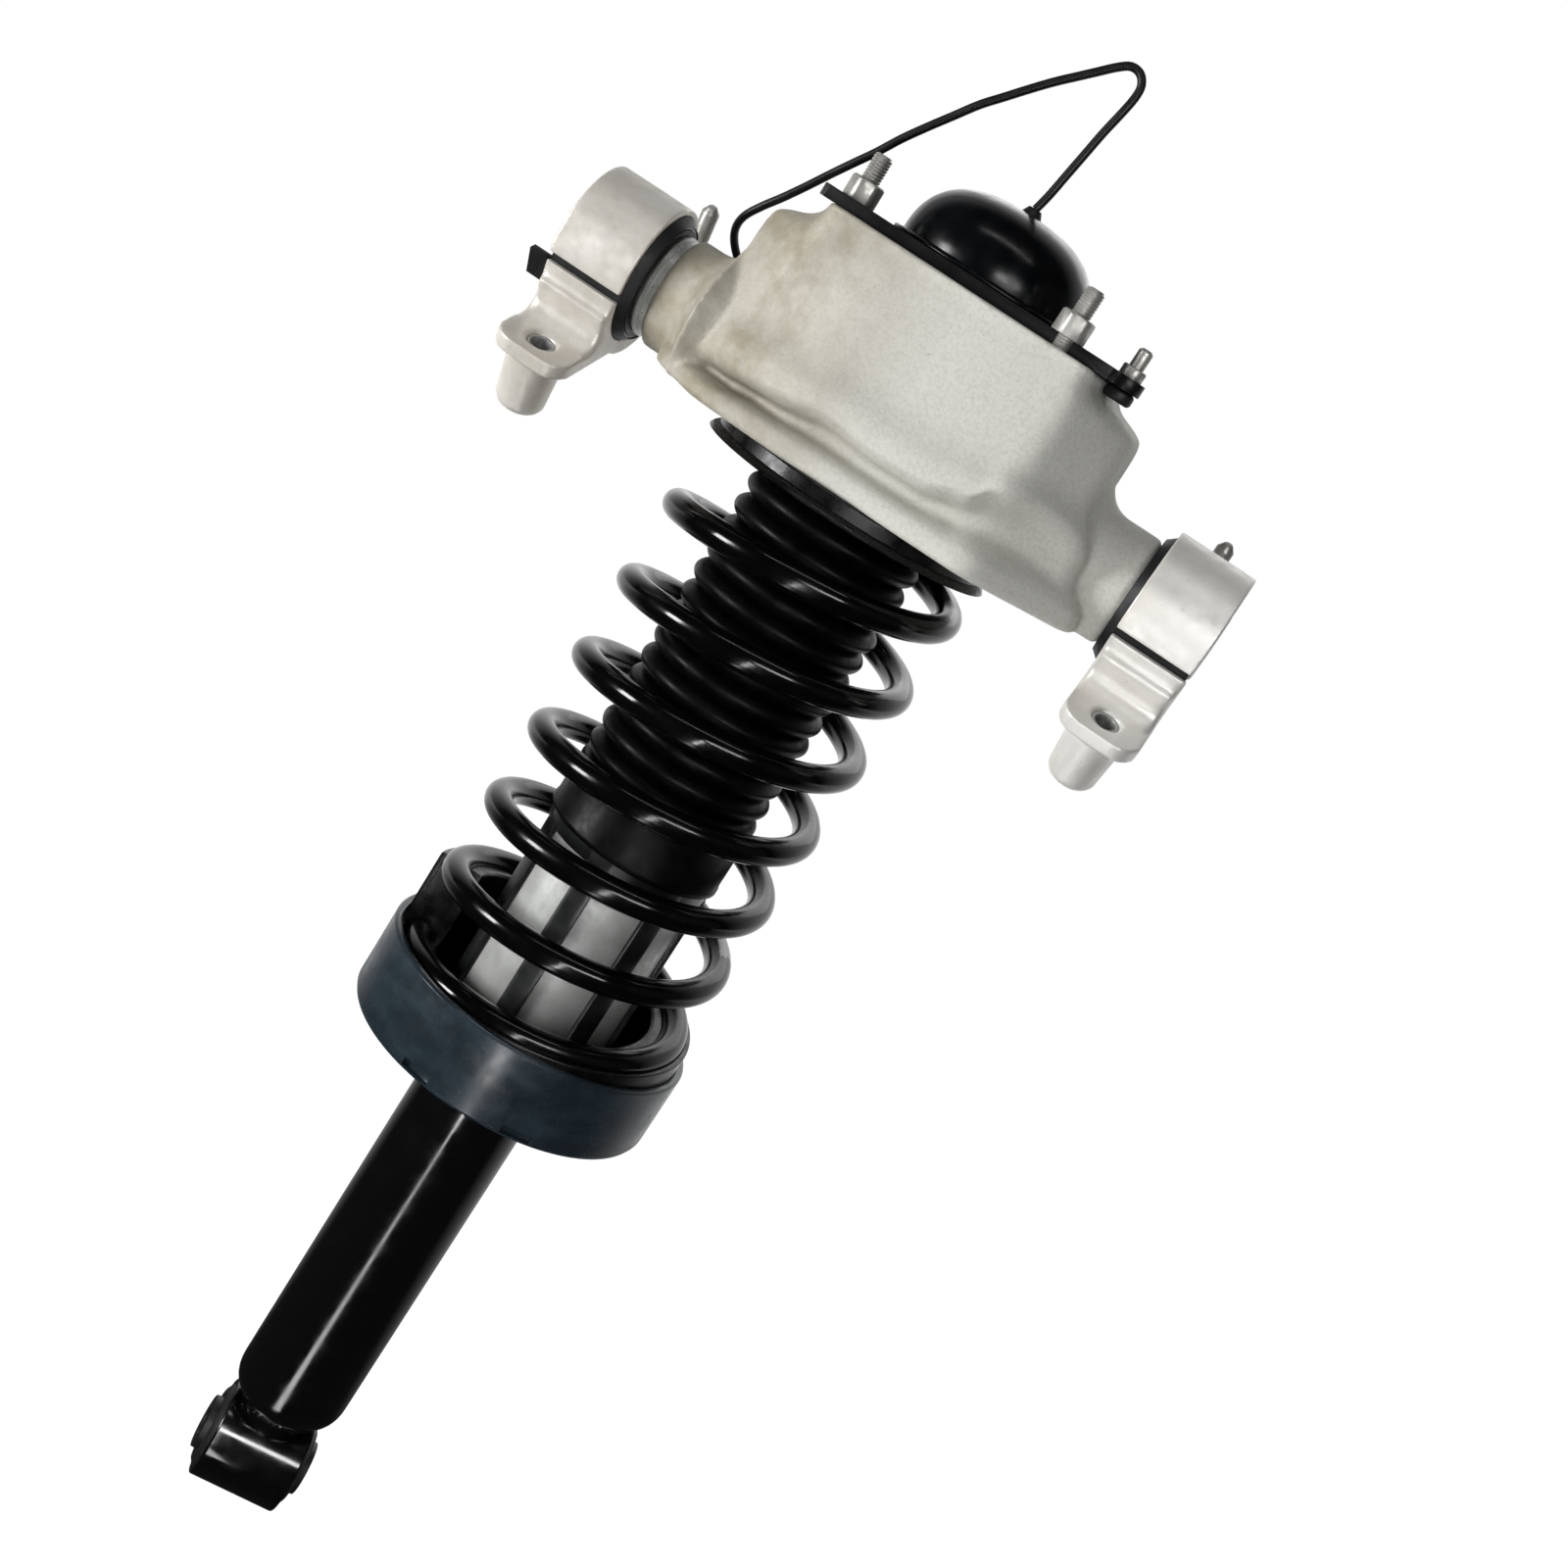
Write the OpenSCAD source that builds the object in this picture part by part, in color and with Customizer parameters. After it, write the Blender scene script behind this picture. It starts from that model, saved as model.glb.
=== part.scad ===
/* [Overall] */
// Height of the trunnion axis above the axis of the lower eye
trunnion_h = 545; // [515:1:590]
// Half the distance between the middles of the two bearing brackets
bracket_x = 134; // [130:0.5:145]
// Diameter of the visible spring's wire
wire_d = 12; // [10:0.5:13]

/* [Mount casting] */
// Depth of the casting's underside below the trunnion axis
cast_drop = 25; // [24:0.5:30]
// Height of the casting's top face above the trunnion axis
cast_rise = 64; // [60:1:76]
// Half width of the shoulders, left to right
shoulder_x = 86; // [82:1:92]
// Half width of the lip that runs round the underside
lip_x = 97; // [94:1:102]
// Half depth of the lip, front to back
lip_y = 61; // [58:1:64]
// Half depth of the front panel
panel_y = 50; // [47:0.5:54]
// Half width of the front panel between its soft corners
panel_x = 63; // [56:1:68]
// Depth of the rear boss that carries the third stud
rear_y = 69; // [66:0.5:76]
// How far the front panel bows out in its middle
panel_bow = 3; // [0:0.5:5]
// How far the ridge above the lip dips in its middle
ridge_dip = 4; // [0:0.5:6]
// Radius of the trunnion necks
neck_r = 20.4; // [19:0.1:23]
// Radius of the hollow fillet between a shoulder and its neck
neck_fillet = 15; // [10:0.5:18]
// Radius of the journals inside the trunnion bushes
journal_r = 16; // [14:0.5:17]

/* [Top plate and studs] */
// Thickness of the top plate
plate_t = 5; // [4:0.5:6]
// Half width of the top plate
plate_x = 66; // [64:1:68]
// Distance from the strut axis to the plate's straight front edge
plate_front = 45; // [43:0.5:46]
// Circle that the three body studs stand on
stud_circle_d = 120; // [112:1:122]
// Thread diameter of the body studs
stud_d = 8; // [6:0.5:9]
// Height of a body stud above the top plate
stud_h = 20; // [16:0.5:30]
// Width across flats of a body nut
nut_af = 13; // [11:0.5:14]
// Height of a body nut
nut_h = 9; // [6:0.5:11]
// Thread diameter of the small earth stud
small_stud_d = 6; // [4:0.5:6]
// Height of the small earth stud above the plate
small_stud_h = 12; // [8:0.5:18]

/* [Dome cap and cable] */
// Outer radius of the dome cap
dome_r = 40; // [37:0.5:42]
// Height of the dome cap
dome_h = 31; // [27:0.5:36]
// Wall of the dome cap
dome_wall = 2.5; // [1.5:0.25:3]
// Diameter of the damper cable
cable_d = 3.5; // [3:0.1:4]

/* [Top mount] */
// Radius of the chamber that holds the top mount rubber
chamber_r = 42; // [38:0.5:43]
// Thickness of the casting floor under the top mount rubber
chamber_floor = 9; // [6:0.5:12]
// Height of the top mount rubber
top_rubber_h = 32; // [28:0.5:36]
// Outer radius of the steel core inside the rubber
core_r = 15; // [12:0.5:17]
// Diameter of the rod's threaded end
rod_thread_d = 12; // [10:0.5:14]

/* [Bearing brackets] */
// Width of a bracket along the trunnion axis
bracket_w = 34; // [30:0.5:35]
// Outer radius of a bracket ring
ring_r = 31.3; // [30.6:0.1:33]
// Bore radius of a bracket ring
ring_bore_r = 28.6; // [28:0.1:29]
// Tilt of the brackets about the trunnion axis, front end down
bracket_tilt = 24; // [15:1:30]
// Width of the slit in the front of a ring
slit_w = 4; // [2:0.5:6]
// Depth of the ear plane below the ring's middle
ear_drop = 25; // [24:0.5:27]
// Thickness of a bracket's base and ears
ear_t = 6.5; // [5:0.5:8]
// Distance from the ring's middle to the front bolt hole
ear_hole_u = 46; // [45:0.5:50]
// Distance from the ring's middle to the rear stud
rear_stud_u = 84; // [76:1:92]
// Length of the hollow boss under a front ear
boss_h = 26; // [22:0.5:30]
// Radius of that boss at its root
boss_r = 12; // [11:0.5:13]
// Bore of the steel inserts for the front bracket bolts
bracket_bolt_d = 9; // [8:0.5:10]
// Thread diameter of the rear studs
rear_stud_d = 8; // [6:0.5:8.5]
// Height of a rear stud above its ear
rear_stud_h = 25; // [18:1:30]

/* [Trunnion bushes] */
// Thickness of the outer rubber layer
outer_rubber_t = 2.8; // [2:0.1:3.2]
// Thickness of the steel interleaf
interleaf_t = 1.2; // [0.8:0.1:1.6]
// Thickness of the inner rubber layer
inner_rubber_t = 3.4; // [2.6:0.1:3.6]
// How far the rubber stands out of the ring on its inboard side
flange_w = 3.6; // [2:0.2:5]

/* [Coil spring and isolators] */
// Mean radius of the coil
coil_r = 59; // [57:0.5:59.5]
// Number of turns, end to end
coil_turns = 6.9; // [6.4:0.05:7.2]
// Plan angle of the spring's lower end
coil_start = 190; // [150:1:230]
// Least thickness of the upper isolator over the wire
upper_iso_t = 5; // [4:0.5:8]
// Thickness of the lower isolator under the wire's lower end
lower_iso_t = 14; // [10:0.5:18]
// Radial width of each isolator inside the wire's centre
iso_inner_w = 11.5; // [10:0.5:12]

/* [Dust boot and bump stop] */
// Outer radius of the dust boot's folds
boot_r = 40; // [37:0.5:41]
// Depth of the folds
fold_depth = 6; // [4:0.5:6.5]
// Number of folds
fold_count = 14; // [10:1:16]
// Height of the boot's plain collar
collar_h = 27; // [22:1:32]
// Wall of the dust boot
boot_wall = 1.4; // [1:0.1:1.8]
// Radius of the bump stop
bump_r = 25; // [20:0.5:26]
// Length of the bump stop
bump_len = 98; // [80:1:104]

/* [Damper] */
// Outer diameter of the damper tube
tube_d = 53; // [50:0.5:54]
// Wall of the damper tube
tube_wall = 2.4; // [2:0.1:3]
// Height of the tube's closed lower end
tube_bottom = 28; // [26:0.5:34]
// Height of the tube's upper end
tube_top = 352; // [340:1:356]
// Diameter of the piston rod
rod_d = 18; // [14:0.5:22]
// Bore of the inner cylinder
cylinder_bore = 34; // [32:0.5:36]
// Distance between the piston and the rod guide with the strut at full length
rebound_gap = 33; // [20:1:50]

/* [Lower seat] */
// Height of the steel seat ring's underside
seat_h = 236; // [230:1:242]
// Space between the spring and the wall of the lower seat cup
cup_rim_gap = 2.8; // [2:0.1:5]
// Wall of the lower seat cup
cup_wall = 3.2; // [2.5:0.1:3.5]
// Height of the lower seat cup
cup_h = 37; // [34:1:42]
// Outer radius of the zinc sleeve behind the cage
sleeve_r = 36; // [34.5:0.5:37]
// Number of ribs in the cage
rib_count = 7; // [5:1:9]
// Width of a cage rib
rib_w = 9.5; // [7:0.5:11]

/* [Lower eye] */
// Outer radius of the lower eye
eye_r = 23; // [22:0.5:24]
// Width of the lower eye
eye_w = 42; // [38:1:46]
// Length of the eye's inner sleeve
eye_sleeve_len = 52; // [48:1:56]
// Outer radius of the eye's inner sleeve
eye_sleeve_r = 12.5; // [11:0.5:13]
// Bolt bore through the eye's inner sleeve
eye_bore_d = 12.2; // [10:0.1:14.2]
// Turn of the eye's axis about the strut axis
eye_yaw = 18; // [0:1:30]

/* [Hidden] */

// Clearances: running fit, seated parts, soft parts against other bodies
run_gap = 0.05;
seat_gap = 0.1;
soft_gap = 0.3;
// Play of the wire in the grooves of its isolators
groove_gap = 0.7;

wire_r = wire_d / 2;
tube_r = tube_d / 2;
rod_r = rod_d / 2;
cup_r = coil_r + wire_r + cup_rim_gap + cup_wall;
cast_under = trunnion_h - cast_drop;
cast_top = trunnion_h + cast_rise;
plate_top = cast_top + plate_t;
seat_ring_t = 3;
sleeve_wall = 1.2;
cage_top = tube_top + 10;
hub_r = tube_r + 4;
hub_h = 14;
circlip_t = 3;
// Plan angles that face the cage ribs and the cup's slots
rib_phase = -93;
slot_angles = [-102, -62];
// Rounding of the tube's closed end
tube_edge = 12;
small_boot_h = 5;
small_boot_r = 6;
smooth = 96;
fine = 48;

// ---- points, rings and faces -------------------------------------------------

function unit(v) = v / norm(v);

function reversed(list) = [for (i = [len(list) - 1:-1:0]) list[i]];

// Quadratic curve that rounds corner b of the path a-b-c over a length d
function rounded(a, b, c, d, n) =
    let (p = b + d * unit(a - b), q = b + d * unit(c - b))
    [for (i = [0:n]) let (t = i / n) (1 - t) * (1 - t) * p + 2 * t * (1 - t) * b + t * t * q];

// Triangles between rings of equal length, the last ring joined to the first or capped
function skin(rings, sides, closed) = concat(
    [for (i = [0:rings - (closed ? 1 : 2)], j = [0:sides - 1])
        let (a = i * sides, b = ((i + 1) % rings) * sides, k = (j + 1) % sides)
        each [[a + j, b + j, b + k], [a + j, b + k, a + k]]],
    closed ? [] : [for (j = [1:sides - 2]) each
        [[0, j, j + 1], [0, j + 1, j] + (rings - 1) * sides * [1, 1, 1]]]);

// Round tube along a path, its rings square to the path
module swept(path, radius, sides) {
    last = len(path) - 1;
    points = [for (i = [0:last])
        let (dir = unit(path[min(i + 1, last)] - path[max(i - 1, 0)]),
            side = unit(cross([0.31, 0.17, 1], dir)), up = cross(dir, side))
        each [for (j = [0:sides - 1]) let (a = 360 * j / sides)
            path[i] + radius * (cos(a) * side + sin(a) * up)]];
    polyhedron(points, skin(last + 1, sides, false), 4);
}

module ring_z(outer, inner, z0, z1) {
    translate([0, 0, z0])
        difference() {
            cylinder(r = outer, h = z1 - z0, $fn = smooth);
            translate([0, 0, -1])
                cylinder(r = inner, h = z1 - z0 + 2, $fn = smooth);
        }
}

// Revolved part, its profile given as [radius, height] points
module turned(profile) {
    rotate_extrude($fn = smooth)
        polygon(profile);
}

module hex_nut(af, h, bore_d) {
    difference() {
        intersection() {
            cylinder(d = af / cos(30), h = h, $fn = 6);
            turned([[0, 0], [af * 0.54, 0], [af * 0.54, h - af * 0.05],
                [af * 0.47, h], [0, h]]);
        }
        translate([0, 0, -1])
            cylinder(d = bore_d, h = h + 2, $fn = fine);
    }
}

// ---- bearing brackets, drawn in a frame whose X is the trunnion axis -----------

ear_end = ear_hole_u + 13;
ear_corner = 10;
arm_end = rear_stud_u + 13;
saddle_r = ring_r + 2;
boss_tip_r = boss_r - 2;

module bracket_frame(side) {
    translate([side * bracket_x, 0, trunnion_h])
        rotate([bracket_tilt, 0, 0])
            children();
}

// Side view of a bracket: ring, saddle, front ear and rear arm, with hollow fillets
module bracket_profile() {
    fillet = 9;
    fillet_u = sqrt(pow(saddle_r + fillet, 2) - pow(ear_drop - fillet, 2));
    difference() {
        union() {
            circle(r = ring_r, $fn = smooth);
            intersection() {
                circle(r = saddle_r + 2, $fn = smooth);
                translate([-saddle_r - 2, -saddle_r - 2])
                    square([2 * saddle_r + 4, saddle_r - slit_w / 2 - 5]);
            }
            translate([-ear_end, -ear_drop - ear_t])
                square([ear_end + arm_end, ear_t]);
            difference() {
                translate([-fillet_u, -ear_drop - 1])
                    square([2 * fillet_u, fillet + 1]);
                for (s = [-1, 1])
                    translate([s * fillet_u, -ear_drop + fillet])
                        circle(r = fillet, $fn = fine);
            }
        }
        circle(r = ring_bore_r, $fn = smooth);
        translate([-ring_r - 10, -slit_w / 2])
            square([ring_r + 10, slit_w]);
    }
}

// Plan outline of the base, with both ear ends rounded
module bracket_plan() {
    half = bracket_w / 2;
    hull() {
        translate([-half, -ear_hole_u + 2])
            square([bracket_w, 2 * ear_hole_u - 4]);
        for (x = [-1, 1])
            translate([x * (half - ear_corner), -ear_end + ear_corner])
                circle(r = ear_corner, $fn = fine);
        translate([0, rear_stud_u])
            circle(r = arm_end - rear_stud_u, $fn = fine);
    }
}

module bracket(side) {
    web_t = 6;
    bracket_frame(side)
        difference() {
            union() {
                intersection() {
                    rotate([90, 0, 90])
                        translate([0, 0, -bracket_w / 2])
                            linear_extrude(height = bracket_w)
                                bracket_profile();
                    translate([0, 0, -ring_r * 2])
                        linear_extrude(height = ring_r * 4)
                            bracket_plan();
                }
                // tapered boss under the front ear, its tip rounded
                translate([0, -ear_hole_u, -ear_drop - ear_t + 1])
                    rotate([180, 0, 0])
                        turned([[0, 0], [boss_r, 0], [boss_tip_r + 0.3, boss_h - 3],
                            [boss_tip_r - 1, boss_h - 0.9], [boss_tip_r - 3, boss_h],
                            [0, boss_h]]);
                // web from the boss to the saddle
                rotate([90, 0, 90])
                    translate([0, 0, -web_t / 2])
                        linear_extrude(height = web_t)
                            polygon([[-ear_hole_u, -ear_drop - ear_t + 1],
                                [-ear_hole_u, -ear_drop - boss_h * 0.62],
                                [-ear_hole_u + boss_r + 4, -ear_drop - boss_h * 0.45],
                                [-8, -saddle_r - 1], [0, -ear_drop - ear_t + 1]]);
                // stiffening rib under the rear arm
                rotate([90, 0, 90])
                    translate([0, 0, -web_t / 2])
                        linear_extrude(height = web_t)
                            polygon([[0, -ear_drop - ear_t + 1], [8, -saddle_r - 1],
                                [rear_stud_u - 10, -ear_drop - ear_t]]);
            }
            // hole for the steel insert, and the boss's own hollow
            translate([0, -ear_hole_u, -ear_drop - boss_h - ear_t - 1])
                cylinder(d = bracket_bolt_d + 3, h = boss_h + ear_t + 3, $fn = fine);
            translate([0, -ear_hole_u, -ear_drop - 1.2])
                cylinder(d1 = bracket_bolt_d + 3, d2 = bracket_bolt_d + 6.2, h = 1.6, $fn = fine);
            // press hole of the rear stud
            translate([0, rear_stud_u, -ear_drop - ear_t - 1])
                cylinder(d = rear_stud_d + 1, h = ear_t + 2, $fn = fine);
        }
}

module left_bracket() {
    color("gainsboro")
        bracket(-1);
}

module right_bracket() {
    color("gainsboro")
        bracket(1);
}

module bracket_studs() {
    color("silver")
        for (side = [-1, 1])
            bracket_frame(side)
                translate([0, rear_stud_u, -ear_drop - ear_t])
                    turned([[0, -3], [rear_stud_d, -3], [rear_stud_d, 0],
                        [rear_stud_d / 2 + 0.5, 0], [rear_stud_d / 2 + 0.5, ear_t],
                        [rear_stud_d / 2, ear_t], [rear_stud_d / 2, ear_t + rear_stud_h - 3],
                        [rear_stud_d / 4, ear_t + rear_stud_h], [0, ear_t + rear_stud_h]]);
}

module ear_inserts() {
    color("darkgray")
        for (side = [-1, 1])
            bracket_frame(side)
                translate([0, -ear_hole_u, -ear_drop - ear_t - boss_h + 1])
                    difference() {
                        cylinder(d = bracket_bolt_d + 3, h = boss_h + ear_t - 2.4, $fn = fine);
                        translate([0, 0, -1])
                            cylinder(d = bracket_bolt_d, h = boss_h + ear_t + 2, $fn = fine);
                    }
}

// ---- trunnion bushes, from the ring inward -----------------------------------

outer_rubber_r = ring_bore_r;
interleaf_r = outer_rubber_r - outer_rubber_t;
inner_rubber_r = interleaf_r - interleaf_t;
sleeve_out_r = inner_rubber_r - inner_rubber_t - run_gap;

module along_x(side, from, to) {
    translate([side * from, 0, trunnion_h])
        rotate([0, side * 90, 0])
            children();
}

bush_in = bracket_x - bracket_w / 2 - flange_w;
bush_out = bracket_x + bracket_w / 2 - 1;

module bush_layer(side, outer, inner, from, to) {
    along_x(side, from)
        difference() {
            cylinder(r = outer, h = to - from, $fn = smooth);
            translate([0, 0, -1])
                cylinder(r = inner, h = to - from + 2, $fn = smooth);
        }
}

module outer_rubber(side) {
    flange_r = ring_bore_r + 1;
    bush_layer(side, outer_rubber_r, interleaf_r, bush_in, bush_out);
    bush_layer(side, flange_r, interleaf_r, bush_in, bush_in + flange_w);
}

// Outline of the tab that hangs below the slit, outboard of the left ring
module tab_outline() {
    polygon([[2 - ring_bore_r, -1.6], [-ring_bore_r - 2, -1.6], [2.6 - ring_bore_r, -14.6],
        [6 - ring_bore_r, -14]]);
}

module left_outer_rubber() {
    tab_w = 8;
    color("#1c1d1f") {
        outer_rubber(-1);
        bracket_frame(-1)
            rotate([90, 0, 90]) {
                translate([0, 0, -bracket_w / 2 - tab_w])
                    linear_extrude(height = tab_w)
                        tab_outline();
                // its root, inside the ring and sunk into the rubber's end
                translate([0, 0, -bracket_w / 2 - 1])
                    linear_extrude(height = 3)
                        intersection() {
                            tab_outline();
                            circle(r = ring_bore_r - 0.4, $fn = smooth);
                        }
            }
    }
}

module right_outer_rubber() {
    color("#1c1d1f")
        outer_rubber(1);
}

module left_interleaf() {
    color("slategray")
        bush_layer(-1, interleaf_r, inner_rubber_r, bush_in + 0.6, bush_out - 1);
}

module right_interleaf() {
    color("slategray")
        bush_layer(1, interleaf_r, inner_rubber_r, bush_in + 0.6, bush_out - 1);
}

module left_inner_rubber() {
    color("#1c1d1f")
        bush_layer(-1, inner_rubber_r, sleeve_out_r + run_gap, bush_in, bush_out - 1);
}

module right_inner_rubber() {
    color("#1c1d1f")
        bush_layer(1, inner_rubber_r, sleeve_out_r + run_gap, bush_in, bush_out - 1);
}

module left_trunnion_sleeve() {
    color("silver")
        bush_layer(-1, sleeve_out_r, journal_r, bush_in + 0.8, bush_out);
}

module right_trunnion_sleeve() {
    color("silver")
        bush_layer(1, sleeve_out_r, journal_r, bush_in + 0.8, bush_out);
}

// ---- mount casting -----------------------------------------------------------

// Half width of the rear boss
rear_half = 20;

// Corners of a level: shoulder half width and depth, panel half width and depth, bow
// of the panel, depth of the rear boss
function level_corners(xs, ys, xp, yp, bow, yr) = [
    [xs, -ys], [xs, ys], [xp - 8, yp - 3], [rear_half, yr], [-rear_half, yr],
    [8 - xp, yp - 3], [-xs, ys], [-xs, -ys],
    [-xp, -yp], [-xp / 2, -yp - bow * 0.75], [0, -yp - bow], [xp / 2, -yp - bow * 0.75],
    [xp, -yp]];

function level_outline(corners, d) =
    let (n = len(corners))
    [for (i = [0:n - 1]) each
        rounded(corners[(i + n - 1) % n], corners[i], corners[(i + 1) % n], d, 3)];

// Levels of the casting: height, the corner sizes, the rounding and the ridge's dip
cast_levels = [
    [-cast_drop, lip_x - 4, 20, panel_x - 3, lip_y - 2, 1, 7, 0],
    [-cast_drop + 2, lip_x, 21, panel_x - 1, lip_y, 1, 8, 0],
    [-cast_drop + 9, lip_x - 1, 21, panel_x - 1, lip_y - 1, 1, 8, 0],
    [-cast_drop + 12.5, lip_x - 7, 21, panel_x - 2, panel_y + 4, 1, 8, 0.4],
    [-cast_drop + 15, shoulder_x, 21, panel_x, panel_y + 1.5, panel_bow * 0.6, 8, 0.8],
    [-cast_drop + 18, shoulder_x, 21, panel_x + 1, panel_y + 3, panel_bow * 1.2, 8, 1],
    [-cast_drop + 23, shoulder_x, 21, panel_x + 1, panel_y + 2.5, panel_bow * 1.3, 8, 0.8],
    [-cast_drop + 34, shoulder_x, 21, panel_x, panel_y + 0.6, panel_bow, 7, 0.3],
    [cast_rise - 22, shoulder_x, 21, panel_x, panel_y - 0.5, panel_bow, 7, 0],
    [cast_rise - 12, shoulder_x - 1, 20, panel_x, panel_y - 1.5, panel_bow, 7, 0],
    [cast_rise - 5, shoulder_x - 9, 19, panel_x - 1, panel_y - 2.5, panel_bow, 7, 0],
    [cast_rise - 1.5, plate_x + 4, 18, panel_x - 2, panel_y - 3.5, 1, 7, 0],
    [cast_rise, plate_x + 2, 17, panel_x - 3, panel_y - 5, 0, 7, 0]];

function level_points(l) =
    [for (p = level_outline(level_corners(l[1], l[2], l[3], l[4], l[5],
            rear_y - max(0, l[0] - cast_rise + 8) / 3), l[6]))
        let (front = max(0, -p[1] / l[4]), middle = cos(min(90, abs(p[0] - 12) * 90 / panel_x)))
        [p[0], p[1], trunnion_h + l[0] - l[7] * ridge_dip * front * middle]];

module cast_body() {
    rings = [for (l = cast_levels) level_points(l)];
    polyhedron([for (r = rings) each r], skin(len(rings), len(rings[0]), false), 4);
}

// Neck, journal and the hollow fillet up to the shoulder, turned about the trunnion axis
module cast_neck(side) {
    fillet_r = neck_r + neck_fillet;
    root = shoulder_x - 30;
    neck_end = bush_in + 0.6;
    arc = [for (a = [0:15:90])
        [fillet_r - neck_fillet * sin(a), shoulder_x + neck_fillet * (1 - cos(a)) - 2]];
    along_x(side, 0)
        turned(concat([[0, root], [fillet_r, root]], arc,
            [[neck_r, neck_end - 1], [neck_r - 1, neck_end], [journal_r, neck_end],
            [journal_r, bush_out + 0.6], [journal_r - 1, bush_out + 1.6],
            [0, bush_out + 1.6]]));
}

chamber_z = cast_top - top_rubber_h;
bottom_bore_r = 31;

module mount_casting() {
    color("gainsboro")
        difference() {
            union() {
                cast_body();
                intersection() {
                    union() {
                        cast_neck(-1);
                        cast_neck(1);
                    }
                    translate([-bracket_x * 1.5, -lip_y, cast_under])
                        cube([bracket_x * 3, 2 * lip_y, cast_rise + cast_drop - 2]);
                }
            }
            // chamber of the top mount rubber, and the bore of the bump stop below it
            translate([0, 0, chamber_z])
                cylinder(r = chamber_r, h = top_rubber_h + 1, $fn = smooth);
            translate([0, 0, cast_under - 1])
                cylinder(r = bottom_bore_r, h = chamber_z - chamber_floor - cast_under + 1,
                    $fn = smooth);
            translate([0, 0, cast_under])
                cylinder(r = core_r + 3, h = cast_rise + cast_drop, $fn = smooth);
            for (a = stud_angles)
                rotate([0, 0, a])
                    translate([stud_circle_d / 2, 0, cast_top - stud_grip])
                        cylinder(d = stud_d, h = stud_grip + 1, $fn = fine);
            // room for the rubber boot under the earth stud
            small_stud_place()
                translate([0, 0, -small_boot_h - seat_gap])
                    cylinder(r = small_boot_r + seat_gap, h = small_boot_h + 1, $fn = fine);
        }
}

// ---- top plate, studs and nuts ------------------------------------------------

stud_angles = [75, 195, 315];
stud_grip = 16;
// The earth stud stands in a tab at the right front corner of the top plate
small_stud_at = [plate_x + 3, -29];
tab_r = 7;
plate_hole_r = 30;

module top_plate() {
    color("#1a1b1d")
        difference() {
            translate([0, 0, cast_top])
                linear_extrude(height = plate_t)
                    difference() {
                        union() {
                            intersection() {
                                union() {
                                    translate([-plate_x, -plate_front])
                                        square([2 * plate_x, 2 * plate_front]);
                                    circle(r = rear_y - 1, $fn = smooth);
                                }
                                translate([-plate_x, -plate_front])
                                    square([2 * plate_x, plate_front + rear_y]);
                                circle(r = norm([plate_x, plate_front]) - 2, $fn = smooth);
                            }
                            translate(small_stud_at)
                                circle(r = tab_r, $fn = fine);
                        }
                        circle(r = plate_hole_r, $fn = smooth);
                    }
            for (a = stud_angles)
                rotate([0, 0, a])
                    translate([stud_circle_d / 2, 0, cast_top - 1])
                        cylinder(d = stud_d, h = plate_t + 2, $fn = fine);
            small_stud_place()
                translate([0, 0, -1])
                    cylinder(d = small_stud_d, h = plate_t + 2, $fn = fine);
        }
}

module top_studs() {
    color("silver")
        for (a = stud_angles)
            rotate([0, 0, a])
                translate([stud_circle_d / 2, 0, cast_top - stud_grip])
                    turned([[0, 0], [stud_d / 2, 0], [stud_d / 2, stud_grip + plate_t + stud_h - 1],
                        [stud_d / 2 - 1, stud_grip + plate_t + stud_h],
                        [0, stud_grip + plate_t + stud_h]]);
}

module top_nuts() {
    color("silver")
        for (a = stud_angles)
            rotate([0, 0, a])
                translate([stud_circle_d / 2, 0, plate_top])
                    hex_nut(nut_af, nut_h, stud_d);
}

module small_stud_place() {
    translate([small_stud_at[0], small_stud_at[1], cast_top])
        children();
}

module small_stud() {
    color("silver")
        small_stud_place()
            turned([[0, -small_boot_h], [small_stud_d / 2, -small_boot_h],
                [small_stud_d / 2, plate_t + small_stud_h - 1],
                [small_stud_d / 2 - 1, plate_t + small_stud_h], [0, plate_t + small_stud_h]]);
}

module small_nut() {
    color("silver")
        small_stud_place()
            translate([0, 0, plate_t])
                hex_nut(small_stud_d + 3, small_stud_d * 0.7, small_stud_d);
}

module stud_boot() {
    color("#1c1d1f")
        small_stud_place()
            turned([[small_stud_d / 2, -small_boot_h], [small_boot_r - 1, -small_boot_h],
                [small_boot_r, -small_boot_h + 1], [small_boot_r, -1], [small_boot_r - 1, 0],
                [small_stud_d / 2, 0]]);
}

// ---- dome cap, grommet, cable and its connector ----------------------------------

// Half section of the dome: fuller than a ball, so its sides start upright
function dome_curve(r, h) =
    [for (i = [0:12]) let (a = i * 7.5) [r * pow(cos(a), 0.75), h * pow(sin(a), 0.8)]];

dome_hole_r = 4.5;
dome_top = plate_top + dome_h;
rod_top = plate_top + 8;
grommet_h = 3;

module dome_cap() {
    flange_t = 1.6;
    color("#101114")
        translate([0, 0, plate_top])
            difference() {
                turned(concat([[0, 0], [dome_r + 3.5, 0], [dome_r + 3.5, flange_t], [dome_r, flange_t]],
                    [for (p = dome_curve(dome_r, dome_h)) if (p[1] > flange_t) p]));
                translate([0, 0, -0.01])
                    turned(concat([[0, 0]],
                        dome_curve(dome_r - dome_wall, dome_h - dome_wall)));
                cylinder(r = dome_hole_r, h = dome_h + 1, $fn = fine);
            }
}

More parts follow.
